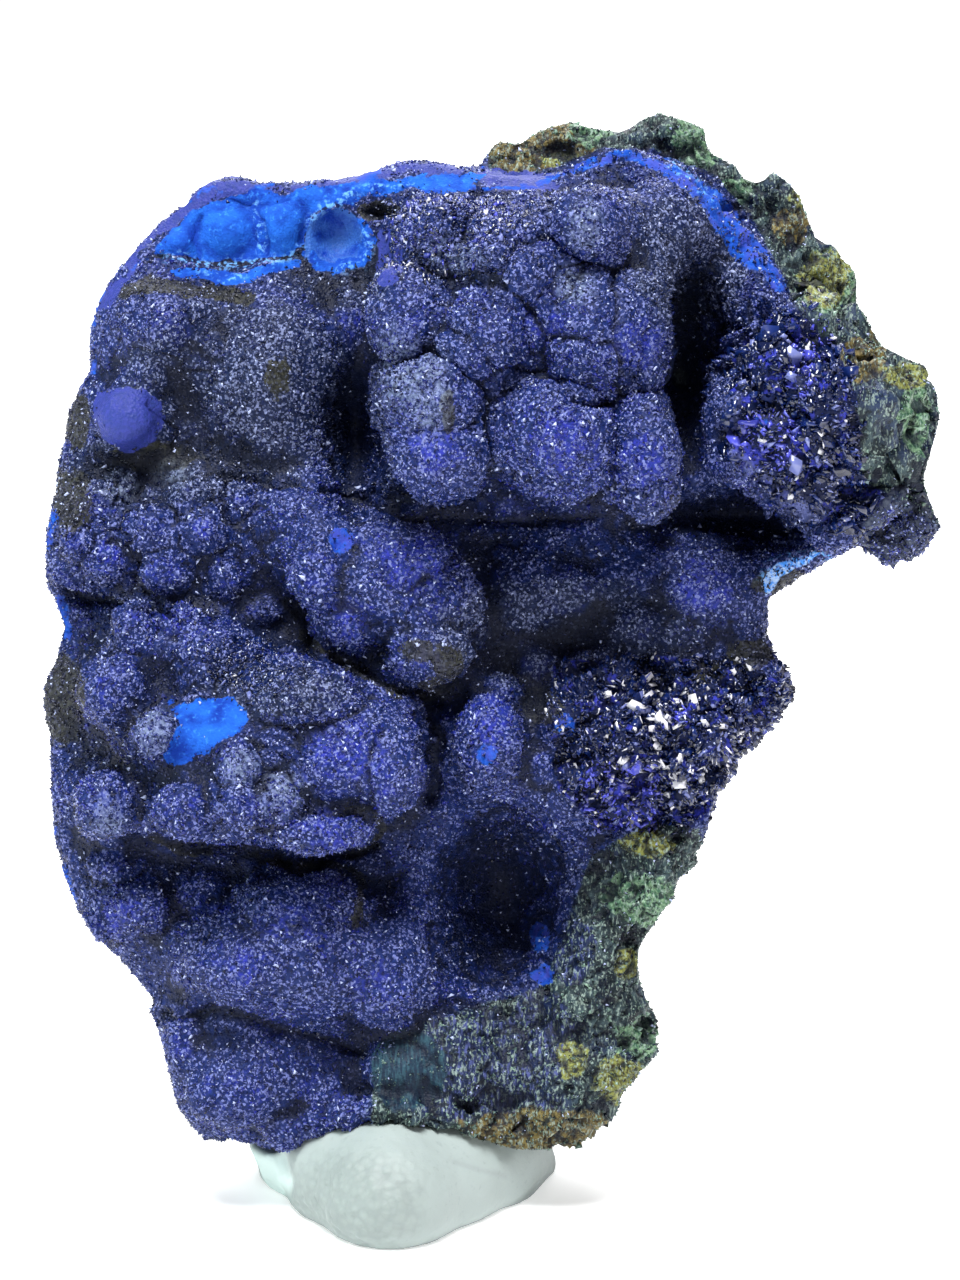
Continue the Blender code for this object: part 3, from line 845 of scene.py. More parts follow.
# Places where small buds are strong: centre, half size and strength.
KNOBBLY = seen_spots([
    (523, 361, 9.5, 12.5, 0.75), (163, 541, 9.0, 6.0, 1.1), (221, 750, 13.0, 9.5, 0.9),
    (170, 361, 6.0, 5.0, 0.5), (797, 253, 9.0, 9.0, 1.0), (595, 138, 9.0, 3.5, 1.0),
    (581, 1016, 9.0, 12.0, 0.9), (422, 606, 5.0, 5.0, 0.4), (134, 901, 5.0, 4.0, 0.5),
])
# Crystal rubble: the right cluster and the heap at the lower right.
CLUSTER = seen(
    (729, 452), (727, 405), (733, 362), (745, 336), (770, 318), (805, 308), (846, 333), (892, 380),
    (915, 434), (915, 475), (890, 500), (862, 540), (826, 520), (789, 500), (758, 478),
)
# The cluster's lit lower ledge, which gets a painted highlight.
CLUSTER_LEDGE = seen((731, 400), (731, 450), (760, 476), (790, 498), (826, 520), (862, 538))
CLUSTER_BLADES = seen(
    (729, 452), (727, 405), (733, 362), (745, 336), (770, 318), (805, 308), (838, 335), (858, 390),
    (858, 450), (868, 500), (862, 540), (826, 520), (789, 500), (758, 478),
)
HEAP_BARS = seen((603, 690), (640, 676), (700, 700), (712, 760), (690, 794), (640, 780), (606, 750))
GLINT_HEAP = seen(
    (555, 665), (640, 656), (741, 660), (795, 691), (759, 740), (715, 800), (690, 830), (600, 830),
    (561, 790), (551, 719),
)


def front_facing(points, outward):
    """1 where a point belongs to the face, 0 on the back."""
    return soft_step(points[:, 2], -12.0, -10.5) * soft_step(outward[:, 2], -0.35, 0.1)


def fields_of(points, outward):
    """All the mineral masks for some points, from the drawings above, and the masks for painted shade in
    pits and creases and a painted highlight on the cluster's ledge.
    """
    spots = seen_at(points)
    spots = spots + 0.16 * np.stack([hills(points, 0.9, 1), hills(points, 0.9, 2)], 1)
    face = front_facing(points, outward)
    fields = {}

    wavy = spots + 0.32 * np.stack([hills(points, 1.5, 0), hills(points, 1.5, 3)], 1)
    azure = np.max([patch(wavy, outline, 0.3) for outline in AZURE_PATCHES.values()], axis=0)
    edge_line = [row[:2] for row in BLUE_EDGE]
    edge_width = np.interp(spots[:, 0], [row[0] for row in BLUE_EDGE], [row[2] for row in BLUE_EDGE])
    edge_width = edge_width * (0.9 + 0.6 * hills(points, 1.6, 2))
    edge_band = 1.0 - soft_step(gap_to_line(spots, edge_line) / edge_width, 0.7, 1.2)
    blue_spots = np.max([spot(spots, *row) for row in AZURE_SPOTS], axis=0)
    slivers = np.max([stroke(spots, line, 0.9) for line in EDGE_SLIVERS], axis=0)
    chips = np.max([stroke(wavy, line, 0.5) for line in CHIP_LINES], axis=0)
    slivers = np.maximum(slivers, chips * soft_step(hills(points, 1.8, 1), -0.3, 0.2))
    broken = np.max([edge_band, blue_spots, slivers], axis=0)
    fields["azure"] = np.maximum(azure, 0.74 * broken) * soft_step(points[:, 2], -11.5, -9.5)
    fields["azure"] *= soft_step(outward[:, 2], -0.5, -0.1)
    fields["broken"] = broken

    fields["bowl"] = patch(wavy, GREY_BOWL, 0.4) * face
    fields["rim"] = np.max([stroke(wavy, line, 0.42) for line in FROTH_LINES], axis=0) * face
    fields["groove"] = np.max([stroke(wavy, line, 0.32) for line in HOLLOW_CREASES], axis=0) * face
    cap = patch(spots, VIOLET_CAP, 0.3)
    powder = np.maximum(patch(spots, TOP_VIOLET, 0.5), patch(spots, CROWN_POWDER, 0.6))
    cap = np.maximum(cap, powder * soft_step(hills(points, 1.1, 2), -0.9, -0.2))
    glow = np.max([0.6 * spot(spots, (u, v), (r, r), 1.4) for u, v, r in VIOLET_GLOWS], axis=0)
    tops = [0.45 * spot(spots, row[:2], (0.8 * row[2], 0.8 * row[3]), 1.0) for row in DOMES]
    glow = np.maximum(glow, np.max(tops, axis=0))
    fields["cap"] = cap * face
    fields["violet"] = glow * face
    stain = np.max([spot(spots, *row) for row in OLIVE_SPOTS], axis=0)
    lines = np.max([stroke(spots, line, width) for line, width in OLIVE_LINES], axis=0)
    fields["olive"] = np.maximum(stain, lines) * face
    fields["frost"] = np.max([spot(spots, centre, half, 1.2) for centre, half in FROST_SPOTS],
        axis=0) * face
    # Painted shade in the pits, stronger where a pit is deeper.
    pits = np.max([spot(spots, centre, half, 1.2) * min(1.0, max(0.2, 0.8 * deep - 1.1))
                   for centre, half, deep in PITS], axis=0)
    fields["pit"] = pits * face
    fields["slab"] = patch(spots, CLUSTER, 0.3) * face
    fields["cluster"] = np.maximum(patch(spots, CLUSTER, 1.0), patch(spots, GLINT_HEAP, 1.2)) * face

    top = patch(spots, TOP_MATRIX, 0.6)
    low = patch(spots, LOWER_MATRIX, 1.2)
    behind = 1.0 - soft_step(points[:, 2] + 0.8 * hills(points, 3.0, 3), -11.2, -9.6)
    fields["boulder"] = patch(spots, RIGHT_BOULDER, 1.0)
    fields["matrix"] = np.max([top, low, behind], axis=0)
    fields["brown"] = np.max([spot(spots, centre, half, 1.0) for centre, half in BROWN_KNOBS], axis=0)
    fields["green"] = np.max([spot(spots, centre, half, 1.2) for centre, half in GREEN_PLACES], axis=0)
    fields["mustard"] = np.max([spot(spots, centre, half, 1.2) for centre, half in MUSTARD_PLACES], axis=0)
    fields["chip"] = patch(wavy, NOTCH_CHIP, 0.3) * face
    fields["teal"] = spot(spots, *TEAL_PLACE, 0.8) * face
    fields["dull"] = np.max([spot(spots, centre, half, 1.0) for centre, half in DULL_PLACES], axis=0) * face
    fields["night"] = np.max([spot(spots, centre, half, 1.0) for centre, half in NIGHT_PLACES],
        axis=0) * face
    # Painted highlight along the cluster's ledge.
    fields["ledge"] = stroke(spots, CLUSTER_LEDGE, 0.45) * face
    return fields


# %% Push in the pits, then move every point along its normal
def push_pits(points, outward):
    """Points with the deep pits pushed in."""
    spots = seen_at(points)
    face = front_facing(points, outward)
    push = np.zeros(len(points))
    for centre, half, depth in PITS:
        reach = np.linalg.norm((spots - np.array(centre)) / np.array(half), axis=1)
        push = np.maximum(push, depth * np.clip(1.0 - reach ** 2, 0.0, 1.0) ** 1.5)
    moved = points.copy()
    moved[:, 2] -= np.minimum(push * face, np.maximum(points[:, 2] + 11.2, 0.0))
    return moved


def dome_grooves(spots):
    """1 on the border between two domes, and 0 away from it."""
    nearest = np.full(len(spots), 9.0)
    second = np.full(len(spots), 9.0)
    for u, v, half_u, half_v, _ in DOMES + HOLLOW_DOMES:
        gap = np.linalg.norm((spots - (u, v)) / (half_u, half_v), axis=1)
        second = np.minimum(second, np.maximum(gap, nearest))
        nearest = np.minimum(nearest, gap)
    return (1.0 - soft_step(second - nearest, 0.0, 0.18)) * (1.0 - soft_step(nearest, 1.1, 1.35))


def lobe_tops(spots, lobes, width):
    """Lobes pressed against each other: 0 where two of them meet, and 1 on their tops."""
    reach = []
    for outline in lobes.values():
        gap = gap_to_line(spots, outline + outline[:1])
        reach.append(np.where(within(spots, outline), gap, -gap))
    reach = np.sort(reach, axis=0)
    crease = np.clip((reach[-1] - reach[-2]) / (2.0 * width), 0.0, 1.0)
    outside = np.clip((reach[-1] + 0.5) / 1.3, 0.0, 1.0)
    return np.sqrt(1.0 - (1.0 - np.minimum(crease, outside)) ** 2)


def trimmed(points, outline, inset):
    """Points outside an outline moved sideways to just inside it."""
    spots = seen_at(points)
    outside = np.nonzero(~within(spots, outline))[0]
    place = spots[outside]
    best = np.full(len(place), np.inf)
    target = place.copy()
    for start, end in zip(np.array(outline), np.array(outline[1:] + outline[:1])):
        along = end - start
        t = np.clip((place - start) @ along / (along @ along), 0.0, 1.0)
        near = start + t[:, None] * along
        gap = np.linalg.norm(place - near, axis=1)
        closer = gap < best
        best = np.where(closer, gap, best)
        target[closer] = near[closer]
    step = (target - place) * (1.0 + inset / np.maximum(best, inset))[:, None]
    moved = points.copy()
    moved[outside, :2] += step * ((EYE_DISTANCE - points[outside, 2]) / EYE_DISTANCE)[:, None]
    return moved


def buds_on(points, size, layer):
    """Round buds, from -0.6 in the creases to 0.4 on top."""
    near, second, _ = grains(points, size, layer)
    top = np.sqrt(np.clip(1.0 - (near / 0.95) ** 2, 0.0, 1.0))
    return top * soft_step(second - near, 0.0, 0.25) - 0.6


def blocks_on(points, size, layer):
    """Broken blocks: each cell stands at its own height, from -0.5 to 0.5."""
    return grains(points, size, layer)[2] - 0.5


def relief(points, outward, fields):
    """How far each point moves along its normal, in millimetres."""
    spots = seen_at(points)
    bent = points + 0.5 * np.stack([hills(points, 1.7, layer) for layer in range(3)], 1)
    face = front_facing(points, outward)
    knobbly = np.max([k * spot(spots, centre, half, 1.0) for centre, half, k in KNOBBLY], axis=0) * face
    smooth = (fields["azure"] * (1.0 - fields["broken"]) + fields["cap"] + fields["bowl"]
              + 0.6 * fields["teal"])
    smooth = np.clip(smooth, 0.0, 1.0) * face
    matrix = np.maximum(fields["matrix"], fields["boulder"])
    knobbly = np.maximum(knobbly, 0.9 * matrix) * (1.0 - 0.9 * smooth)
    side = 1.0 - soft_step(np.abs(outward[:, 2]), 0.25, 0.7)
    rubble = np.max([fields["cluster"], 0.8 * matrix, 0.9 * fields["broken"], 0.6 * side],
        axis=0) * (1.0 - smooth)

    stone = np.clip(matrix + fields["cluster"], 0.0, 1.0) * (1.0 - 0.6 * fields["night"])
    height = (0.16 * buds_on(bent, 2.4, 0) + 0.12 * buds_on(bent, 1.05, 1)) * (0.1 + knobbly)
    height += (0.35 * buds_on(bent, 1.9, 0) + 0.2 * buds_on(bent, 0.9, 1)) * stone * (1.0 - smooth)
    height += 0.07 * buds_on(bent, 0.55, 2) * (1.0 - smooth)
    height += (0.7 * blocks_on(bent, 1.5, 3) + 0.4 * blocks_on(bent, 0.75, 4)) * rubble
    height += (0.2 + 0.9 * buds_on(bent, 3.1, 3) + 1.3 * blocks_on(bent, 2.3, 1)) * fields["cluster"]
    height += 2.0 * fields["slab"] + 0.30 * blocks_on(bent, 0.55, 5) * stone * (1.0 - smooth)
    height += 0.12 * rough_hills(points, 2.2, 2, 2) * (1.0 - 0.6 * smooth)
    height += 0.05 * rough_hills(points, 0.7, 2, 0) * (1.0 - smooth)
    bent_spots = spots + 0.3 * np.stack([hills(points, 1.5, 1), hills(points, 1.5, 2)], 1)
    on_boss = spot(spots, BOSS_MIDDLE, BOSS_REACH, 0.1)
    height -= 0.3 * dome_grooves(bent_spots) * soft_step(knobbly, 0.2, 0.7) * face * (1.0 - on_boss)
    tops = lobe_tops(bent_spots, BOSS_LOBES, 0.8) * face
    height += 0.95 * tops + 0.22 * buds_on(bent, 1.5, 2) * (tops > 0) * soft_step(tops, 0.0, 0.5)
    for line, width, depth in CRACKS:
        height -= depth * face * (1.0 - soft_step(gap_to_line(bent_spots, line), 0.0, width)) * 0.8
    height -= 0.35 * fields["groove"]
    height += (0.22 * fields["rim"] - 0.05 * smooth + 0.06 * rough_hills(points, 0.9, 2, 1) * smooth
               - 0.15 * matrix - 0.15 * side)
    return height


OUTLINE_INSET = 0.10
NEAR_STEPS = 8
FAR_STEPS = 90


def shape_surface(item, most):
    """Give a body its relief, thin it, and store its mineral masks and the bulge and crevice masks for
    painted highlight and painted shade.
    """
    points = push_pits(points_of(item), normals_of(item))
    move_points(item, points)
    outward = normals_of(item)
    points = points + outward * relief(points, outward, fields_of(points, outward))[:, None]
    move_points(item, trimmed(points, ROCK_OUTLINE, OUTLINE_INSET))
    thinned(item, most)
    points, outward = points_of(item), normals_of(item)
    fields = fields_of(points, outward)
    near_bulge = np.einsum("ij,ij->i", points - averaged(item, points, NEAR_STEPS), outward)
    far_bulge = np.einsum("ij,ij->i", points - averaged(item, points, FAR_STEPS), outward)
    # Convex bulges ('edge') get painted highlights, and crevices ('crevice') get painted shade.
    fields["edge"] = np.maximum(soft_step(near_bulge, 0.02, 0.07), 0.7 * soft_step(far_bulge, 0.12, 0.35))
    fields["crevice"] = np.maximum(soft_step(-near_bulge, 0.04, 0.12),
        0.4 * soft_step(-far_bulge, 0.35, 0.9))
    for name, values in fields.items():
        set_field(item, name, values)
    print(item.name, "has", triangles_in(item), "triangles")
    return fields


front_fields = shape_surface(front, FRONT_TRIANGLES)
shape_surface(back, BACK_TRIANGLES)
print("fields stored:", ", ".join(front_fields))

# %% [markdown]
# ## Short ways to write a material
#
# A material is a graph of nodes. These helpers add one node a call and link whatever is
# handed to them, so a recipe reads like a list of ingredients. Sizes are in millimetres
# because `in_millimetres` scales the object's own coordinates first.

# %% Material helpers
def new_material(name):
    """An empty material, its node tree and its shader."""
    material = bpy.data.materials.new(name)
    material.use_nodes = True
    tree = material.node_tree
    return material, tree, tree.nodes["Principled BSDF"]


def feed(tree, socket, value):
    """Link a value into a socket, or set it there."""
    if isinstance(value, bpy.types.NodeSocket):
        tree.links.new(value, socket)
    elif isinstance(value, tuple) and len(value) == 3 and socket.type == "RGBA":
        socket.default_value = (*value, 1.0)
    else:
        socket.default_value = value


def in_millimetres(tree):
    """The object's own coordinates, scaled to millimetres."""
    where = tree.nodes.new("ShaderNodeTexCoord")
    scale = tree.nodes.new("ShaderNodeVectorMath")
    scale.operation = "SCALE"
    scale.inputs["Scale"].default_value = 1.0 / MM
    tree.links.new(where.outputs["Object"], scale.inputs[0])
    return scale.outputs[0]


def field(tree, name):
    """A stored number of the mesh."""
    node = tree.nodes.new("ShaderNodeAttribute")
    node.attribute_name = name
    return node.outputs["Fac"]


def clouds(tree, place, size, detail=3.0, roughness=0.55):
    """Noise with features this many millimetres across."""
    node = tree.nodes.new("ShaderNodeTexNoise")
    feed(tree, node.inputs["Vector"], place)
    node.inputs["Scale"].default_value = 1.0 / size
    node.inputs["Detail"].default_value = detail
    node.inputs["Roughness"].default_value = roughness
    return node.outputs["Fac"]


def cells(tree, place, size, output="Color"):
    """Voronoi cells this many millimetres across."""
    node = tree.nodes.new("ShaderNodeTexVoronoi")
    feed(tree, node.inputs["Vector"], place)
    node.inputs["Scale"].default_value = 1.0 / size
    return node.outputs[output]


def sums(tree, operation, a, b):
    """One step of arithmetic."""
    node = tree.nodes.new("ShaderNodeMath")
    node.operation = operation
    feed(tree, node.inputs[0], a)
    feed(tree, node.inputs[1], b)
    return node.outputs[0]


def slanted(tree, place, turn, stretch):
    """Coordinates turned in the face's plane and stretched, for fibres."""
    node = tree.nodes.new("ShaderNodeMapping")
    feed(tree, node.inputs["Vector"], place)
    node.inputs["Rotation"].default_value = (0.0, math.radians(turn), 0.0)
    node.inputs["Scale"].default_value = (stretch, 1.0, 1.0)
    return node.outputs["Vector"]


def ramp(tree, value, low, high):
    """0 below low, 1 above high."""
    node = tree.nodes.new("ShaderNodeMapRange")
    feed(tree, node.inputs["Value"], value)
    node.inputs["From Min"].default_value = low
    node.inputs["From Max"].default_value = high
    return node.outputs["Result"]


def blend(tree, share, a, b):
    """Colour a where share is 0, and b where it is 1."""
    node = tree.nodes.new("ShaderNodeMix")
    node.data_type = "RGBA"
    feed(tree, node.inputs[0], share)
    feed(tree, node.inputs[6], a)
    feed(tree, node.inputs[7], b)
    return node.outputs[2]


def torn(tree, mask, noise, amount=0.5):
    """A soft mask with its edge broken up by noise."""
    shifted = sums(tree, "ADD", mask, sums(tree, "MULTIPLY", sums(tree, "SUBTRACT", noise, 0.5), amount))
    return ramp(tree, shifted, 0.42, 0.58)


def bumps(tree, shader, height, strength, distance):
    """Fine bumps, `distance` millimetres high."""
    node = tree.nodes.new("ShaderNodeBump")
    feed(tree, node.inputs["Height"], height)
    node.inputs["Strength"].default_value = strength
    node.inputs["Distance"].default_value = distance * MM
    tree.links.new(node.outputs["Normal"], shader.inputs["Normal"])


# %% [markdown]
# ## The rock's own skin
#
# Under the crystals the rock is a patchwork. One material covers it all: it starts with dark
# indigo druse with painted lilac glints, more of them on bulges, then lays violet glow, olive
# stain, frost, bare azure, grey bowl and matrix over it, each through its own stored mask. The
# matrix gets painted sparks, pale fibres with a painted sheen, and painted shade in its gaps.
# Crevices, pits and the creases between the hollow's domes get painted shade, and the
# cluster's ledge gets a painted highlight. Noise tears the edges of the masks, because a
# mineral never stops along a smooth line.

# %% Rock skin material
INDIGO_DEEP = (0.002, 0.006, 0.038)
INDIGO = (0.005, 0.018, 0.115)
INDIGO_VIOLET = (0.018, 0.026, 0.29)
# Painted glint colours: lilac specks and almost white crystals.
LILAC_GLINT = (0.125, 0.150, 0.37)
BRIGHT_GLINT = (0.42, 0.48, 0.74)
AZURE_DEEP = (0.002, 0.028, 0.26)
AZURE = (0.010, 0.098, 0.50)
AZURE_PALE = (0.04, 0.22, 0.68)
RIM_PALE = (0.12, 0.32, 0.68)
ULTRAMARINE = (0.018, 0.032, 0.17)
# Near black for painted shade in crevices and pits.
SHADE_BLACK = (0.002, 0.004, 0.014)
OLIVE_DARK = (0.006, 0.006, 0.004)
OLIVE = (0.040, 0.040, 0.016)
FROST = (0.20, 0.25, 0.36)
BOWL_GREY = (0.025, 0.095, 0.36)
MATRIX_DARK = (0.004, 0.009, 0.013)
MATRIX_GREY = (0.040, 0.066, 0.075)
MATRIX_BLUE = (0.012, 0.024, 0.075)
MALACHITE = (0.030, 0.085, 0.050)
MALACHITE_PALE = (0.20, 0.32, 0.19)
LIMONITE = (0.16, 0.125, 0.04)
LIMONITE_DARK = (0.025, 0.018, 0.009)
TEAL_GREY = (0.008, 0.020, 0.040)
SLATE = (0.07, 0.085, 0.12)
VIOLET_DUST = (0.035, 0.045, 0.30)
YELLOW_GREEN = (0.20, 0.22, 0.06)
LILAC_STREAK = (0.055, 0.070, 0.20)
CAP_VIOLET = (0.032, 0.042, 0.25)
TEAL_PALE = (0.022, 0.060, 0.085)
NIGHT_BLUE = (0.006, 0.013, 0.045)
CHIP_PALE = (0.30, 0.42, 0.64)
DULL_NAVY = (0.004, 0.009, 0.030)
DULL_GREY = (0.16, 0.19, 0.31)
STONE_PALE = (0.26, 0.34, 0.30)
CLUSTER_VIOLET = (0.07, 0.08, 0.55)


def rock_skin():
    """The layered mineral material."""
    material, tree, shader = new_material("rock_skin")
    place = in_millimetres(tree)
    broad, middle, fine = clouds(tree, place, 5.0), clouds(tree, place, 1.4), clouds(tree, place, 0.35)
    speck = cells(tree, place, 0.16, "Color")

    indigo = blend(tree, ramp(tree, fine, 0.3, 0.7), INDIGO_DEEP, INDIGO)
    violet = blend(tree, ramp(tree, fine, 0.35, 0.65), INDIGO, INDIGO_VIOLET)
    indigo = blend(tree, torn(tree, field(tree, "violet"), middle, 0.8), indigo, violet)
    # Painted glints: random specks turn lilac, more on bulges, and grey in dull places.
    lit = sums(tree, "ADD", speck, sums(tree, "MULTIPLY", field(tree, "edge"), 0.12))
    colour = blend(tree, ramp(tree, lit, 0.76, 0.90), indigo, LILAC_GLINT)
    grey = blend(tree, ramp(tree, lit, 0.70, 0.90), DULL_NAVY, DULL_GREY)
    colour = blend(tree, sums(tree, "MULTIPLY", torn(tree, field(tree, "dull"), middle, 1.0), 0.7),
        colour, grey)
    cluster = blend(tree, ramp(tree, middle, 0.52, 0.62), INDIGO_DEEP, INDIGO_VIOLET)
    colour = blend(tree, torn(tree, field(tree, "cluster"), middle, 0.6), colour, cluster)

    olive = blend(tree, ramp(tree, fine, 0.35, 0.65), OLIVE_DARK, OLIVE)
    stain = torn(tree, field(tree, "olive"), middle, 1.6)
    colour = blend(tree, sums(tree, "MULTIPLY", stain, 0.8), colour, olive)
    frosty = sums(tree, "MULTIPLY", field(tree, "frost"), ramp(tree, fine, 0.4, 0.6))
    colour = blend(tree, sums(tree, "MULTIPLY", frosty, 0.6), colour, FROST)

    stone = blend(tree, ramp(tree, middle, 0.38, 0.62), MATRIX_DARK, MATRIX_GREY)
    stone = blend(tree, sums(tree, "MULTIPLY", ramp(tree, broad, 0.48, 0.62), 0.8), stone, MATRIX_BLUE)
    fibres = clouds(tree, slanted(tree, place, 40.0, 5.0), 1.1, 4.0)
    night = blend(tree, ramp(tree, fibres, 0.50, 0.62), NIGHT_BLUE, LILAC_STREAK)
    stone = blend(tree, torn(tree, field(tree, "night"), middle, 0.9), stone, night)
    limonite = blend(tree, ramp(tree, fine, 0.35, 0.65), LIMONITE_DARK, LIMONITE)
    stone = blend(tree, torn(tree, field(tree, "brown"), middle, 1.4), stone, limonite)
    green = blend(tree, ramp(tree, fine, 0.40, 0.7), MALACHITE, MALACHITE_PALE)
    stone = blend(tree, torn(tree, field(tree, "green"), middle, 1.8), stone, green)
    mustard = blend(tree, ramp(tree, fine, 0.35, 0.6), LIMONITE_DARK, YELLOW_GREEN)
    stone = blend(tree, torn(tree, field(tree, "mustard"), middle, 1.6), stone, mustard)
    # Pale fibres in the matrix, partly their own colour and partly a painted sheen.
    threads = clouds(tree, slanted(tree, place, -35.0, 3.0), 0.5, 5.0)
    stone = blend(tree, sums(tree, "MULTIPLY", ramp(tree, threads, 0.54, 0.62), 0.6), stone, STONE_PALE)
    # Painted shade in dark gaps between the matrix grains.
    gaps = ramp(tree, clouds(tree, place, 0.6, 5.0, 0.65), 0.53, 0.60)
    stone = blend(tree, sums(tree, "MULTIPLY", gaps, 0.9), stone, MATRIX_DARK)
    # Painted glints: pale sparks on the matrix.
    sparks = sums(tree, "MULTIPLY", ramp(tree, speck, 0.80, 0.86), 0.55)
    stone = blend(tree, sparks, stone, STONE_PALE)
    colour = blend(tree, torn(tree, field(tree, "matrix"), middle, 0.9), colour, stone)
    slate = blend(tree, ramp(tree, fine, 0.3, 0.7), INDIGO_DEEP, SLATE)
    colour = blend(tree, torn(tree, field(tree, "boulder"), middle, 0.6), colour, slate)
    teal = blend(tree, ramp(tree, fibres, 0.45, 0.60), TEAL_GREY, TEAL_PALE)
    colour = blend(tree, torn(tree, field(tree, "teal"), middle, 0.8), colour, teal)

    # Painted shade: crevices and pits go near black.
    dark = sums(tree, "MAXIMUM", field(tree, "crevice"), sums(tree, "MULTIPLY", field(tree, "pit"), 0.85))
    colour = blend(tree, sums(tree, "MULTIPLY", dark, 0.85), colour, SHADE_BLACK)
    cap = blend(tree, ramp(tree, fine, 0.3, 0.7), ULTRAMARINE, CAP_VIOLET)
    # Painted highlight along the cluster's ledge.
    colour = blend(tree, sums(tree, "MULTIPLY", field(tree, "ledge"), 0.7), colour, LILAC_GLINT)
    colour = blend(tree, torn(tree, field(tree, "cap"), fine, 0.4), colour, cap)
    bowl = blend(tree, ramp(tree, middle, 0.45, 0.65), BOWL_GREY, AZURE_DEEP)
    colour = blend(tree, torn(tree, field(tree, "bowl"), fine, 0.4), colour, bowl)
    azure = blend(tree, ramp(tree, middle, 0.32, 0.6), AZURE_DEEP, AZURE)
    azure = blend(tree, ramp(tree, fine, 0.58, 0.8), azure, AZURE_PALE)
    # Painted shade on bare azure in crevices and in the creases between the hollow's domes.
    azure = blend(tree, sums(tree, "MULTIPLY", field(tree, "crevice"), 0.6), azure, AZURE_DEEP)
    azure = blend(tree, sums(tree, "MULTIPLY", field(tree, "groove"), 0.8), azure, AZURE_DEEP)
    broken = sums(tree, "MULTIPLY", field(tree, "broken"), ramp(tree, middle, 0.44, 0.58))
    azure = blend(tree, sums(tree, "MULTIPLY", broken, 0.85), azure, VIOLET_DUST)
    azure_mask = torn(tree, field(tree, "azure"), fine, 0.7)
    colour = blend(tree, azure_mask, colour, azure)
    rim = sums(tree, "MULTIPLY", field(tree, "rim"), ramp(tree, fine, 0.50, 0.62))
    colour = blend(tree, rim, colour, RIM_PALE)
    chip = blend(tree, ramp(tree, fine, 0.42, 0.58), AZURE_PALE, CHIP_PALE)
    colour = blend(tree, torn(tree, field(tree, "chip"), fine, 0.6), colour, chip)

    tree.links.new(colour, shader.inputs["Base Color"])
    feed(tree, shader.inputs["Roughness"], sums(tree, "ADD", 0.5, sums(tree, "MULTIPLY", azure_mask, 0.35)))
    shader.inputs["IOR"].default_value = 1.5
    shader.inputs["Specular IOR Level"].default_value = 0.15
    grit = sums(tree, "ADD", cells(tree, place, 0.18, "Distance"), clouds(tree, place, 0.22, 4.0))
    bumps(tree, shader, grit, 0.5, 0.12)
    return material


skin = rock_skin()
for item in (front, back):
    item.data.materials.clear()
    item.data.materials.append(skin)
    item.data.shade_smooth()
    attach(item, "root")
    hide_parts("azurite_specimen")
print("rock skin has", len(skin.node_tree.nodes), "nodes")

# %% [markdown]
# ## Druse, a coat of tiny crystals
#
# The crust sparkles because it is coated with druse: crystals two or three tenths of a
# millimetre long that point out of the surface, each a little askew. Geometry, not bump,
# makes their sparkle, because each real facet catches the light at its own angle. A crystal
# here is the simplest closed solid, a leaning tetrahedron half sunk in the crust. They are
# built as whole arrays, and split into four objects so that none gets too heavy.

# %% Scatter crystals over a surface
def scatter(item, fields, density, count, seed):
    """Random places on a surface: position, normal, and the masks there."""
    dice = np.random.default_rng(seed)
    mesh = item.data
    mesh.calc_loop_triangles()
    corners = np.empty(len(mesh.loop_triangles) * 3, np.int32)
    mesh.loop_triangles.foreach_get("vertices", corners)
    corners = corners.reshape(-1, 3)
    points, outward = points_of(item), normals_of(item)
    a, b, c = points[corners[:, 0]], points[corners[:, 1]], points[corners[:, 2]]
    area = np.linalg.norm(np.cross(b - a, c - a), axis=1) / 2
    weight = area * density[corners].mean(axis=1)
    chosen = dice.choice(len(corners), count, p=weight / weight.sum())
    r, s = np.sqrt(dice.random(count)), dice.random(count)
    shares = np.stack([1.0 - r, r * (1.0 - s), r * s], 1)
    mix = lambda values: np.einsum("ij,ij...->i...", shares, values[corners[chosen]])
    here = {name: mix(values) for name, values in fields.items()}
    return mix(points), mix(outward), here, dice


def unit(vectors):
    """Vectors scaled to length one."""
    return vectors / np.linalg.norm(vectors, axis=1, keepdims=True)


def standing_frames(outward, dice, tilt):
    """Three axes for each crystal: two across it, and one up it, leaning at random."""
    up = unit(outward + tilt * dice.normal(size=outward.shape))
    side = unit(np.cross(up, dice.normal(size=up.shape)))
    return side, np.cross(up, side), up


# %% Build the druse
DRUSE_COUNT = 37000
DRUSE_PIECES = 4
DRUSE_WIDTH = 0.105
DRUSE_LENGTH = 0.16
DRUSE_TILT = 0.6


def crystal_solids(name, shape, faces, places, frames, sizes):
    """Copies of one small closed shape, placed and turned, as one object."""
    side, across, up = frames
    width, length = sizes
    x = shape[None, :, 0, None] * width[:, None, None] * side[:, None, :]
    y = shape[None, :, 1, None] * width[:, None, None] * across[:, None, :]
    z = shape[None, :, 2, None] * length[:, None, None] * up[:, None, :]
    points = places[:, None, :] + x + y + z
    corners = faces[None] + np.arange(len(places))[:, None, None] * len(shape)
    return object_from(name, points.reshape(-1, 3), corners.reshape(-1, faces.shape[1]))


POINTED = np.array([[1.3, 0.0, -0.3], [-0.6, 0.6, -0.3], [-0.6, -0.6, -0.3], [0.2, 0.05, 0.9]])
POINTED_FACES = np.array([[0, 2, 1], [0, 1, 3], [1, 2, 3], [2, 0, 3]])


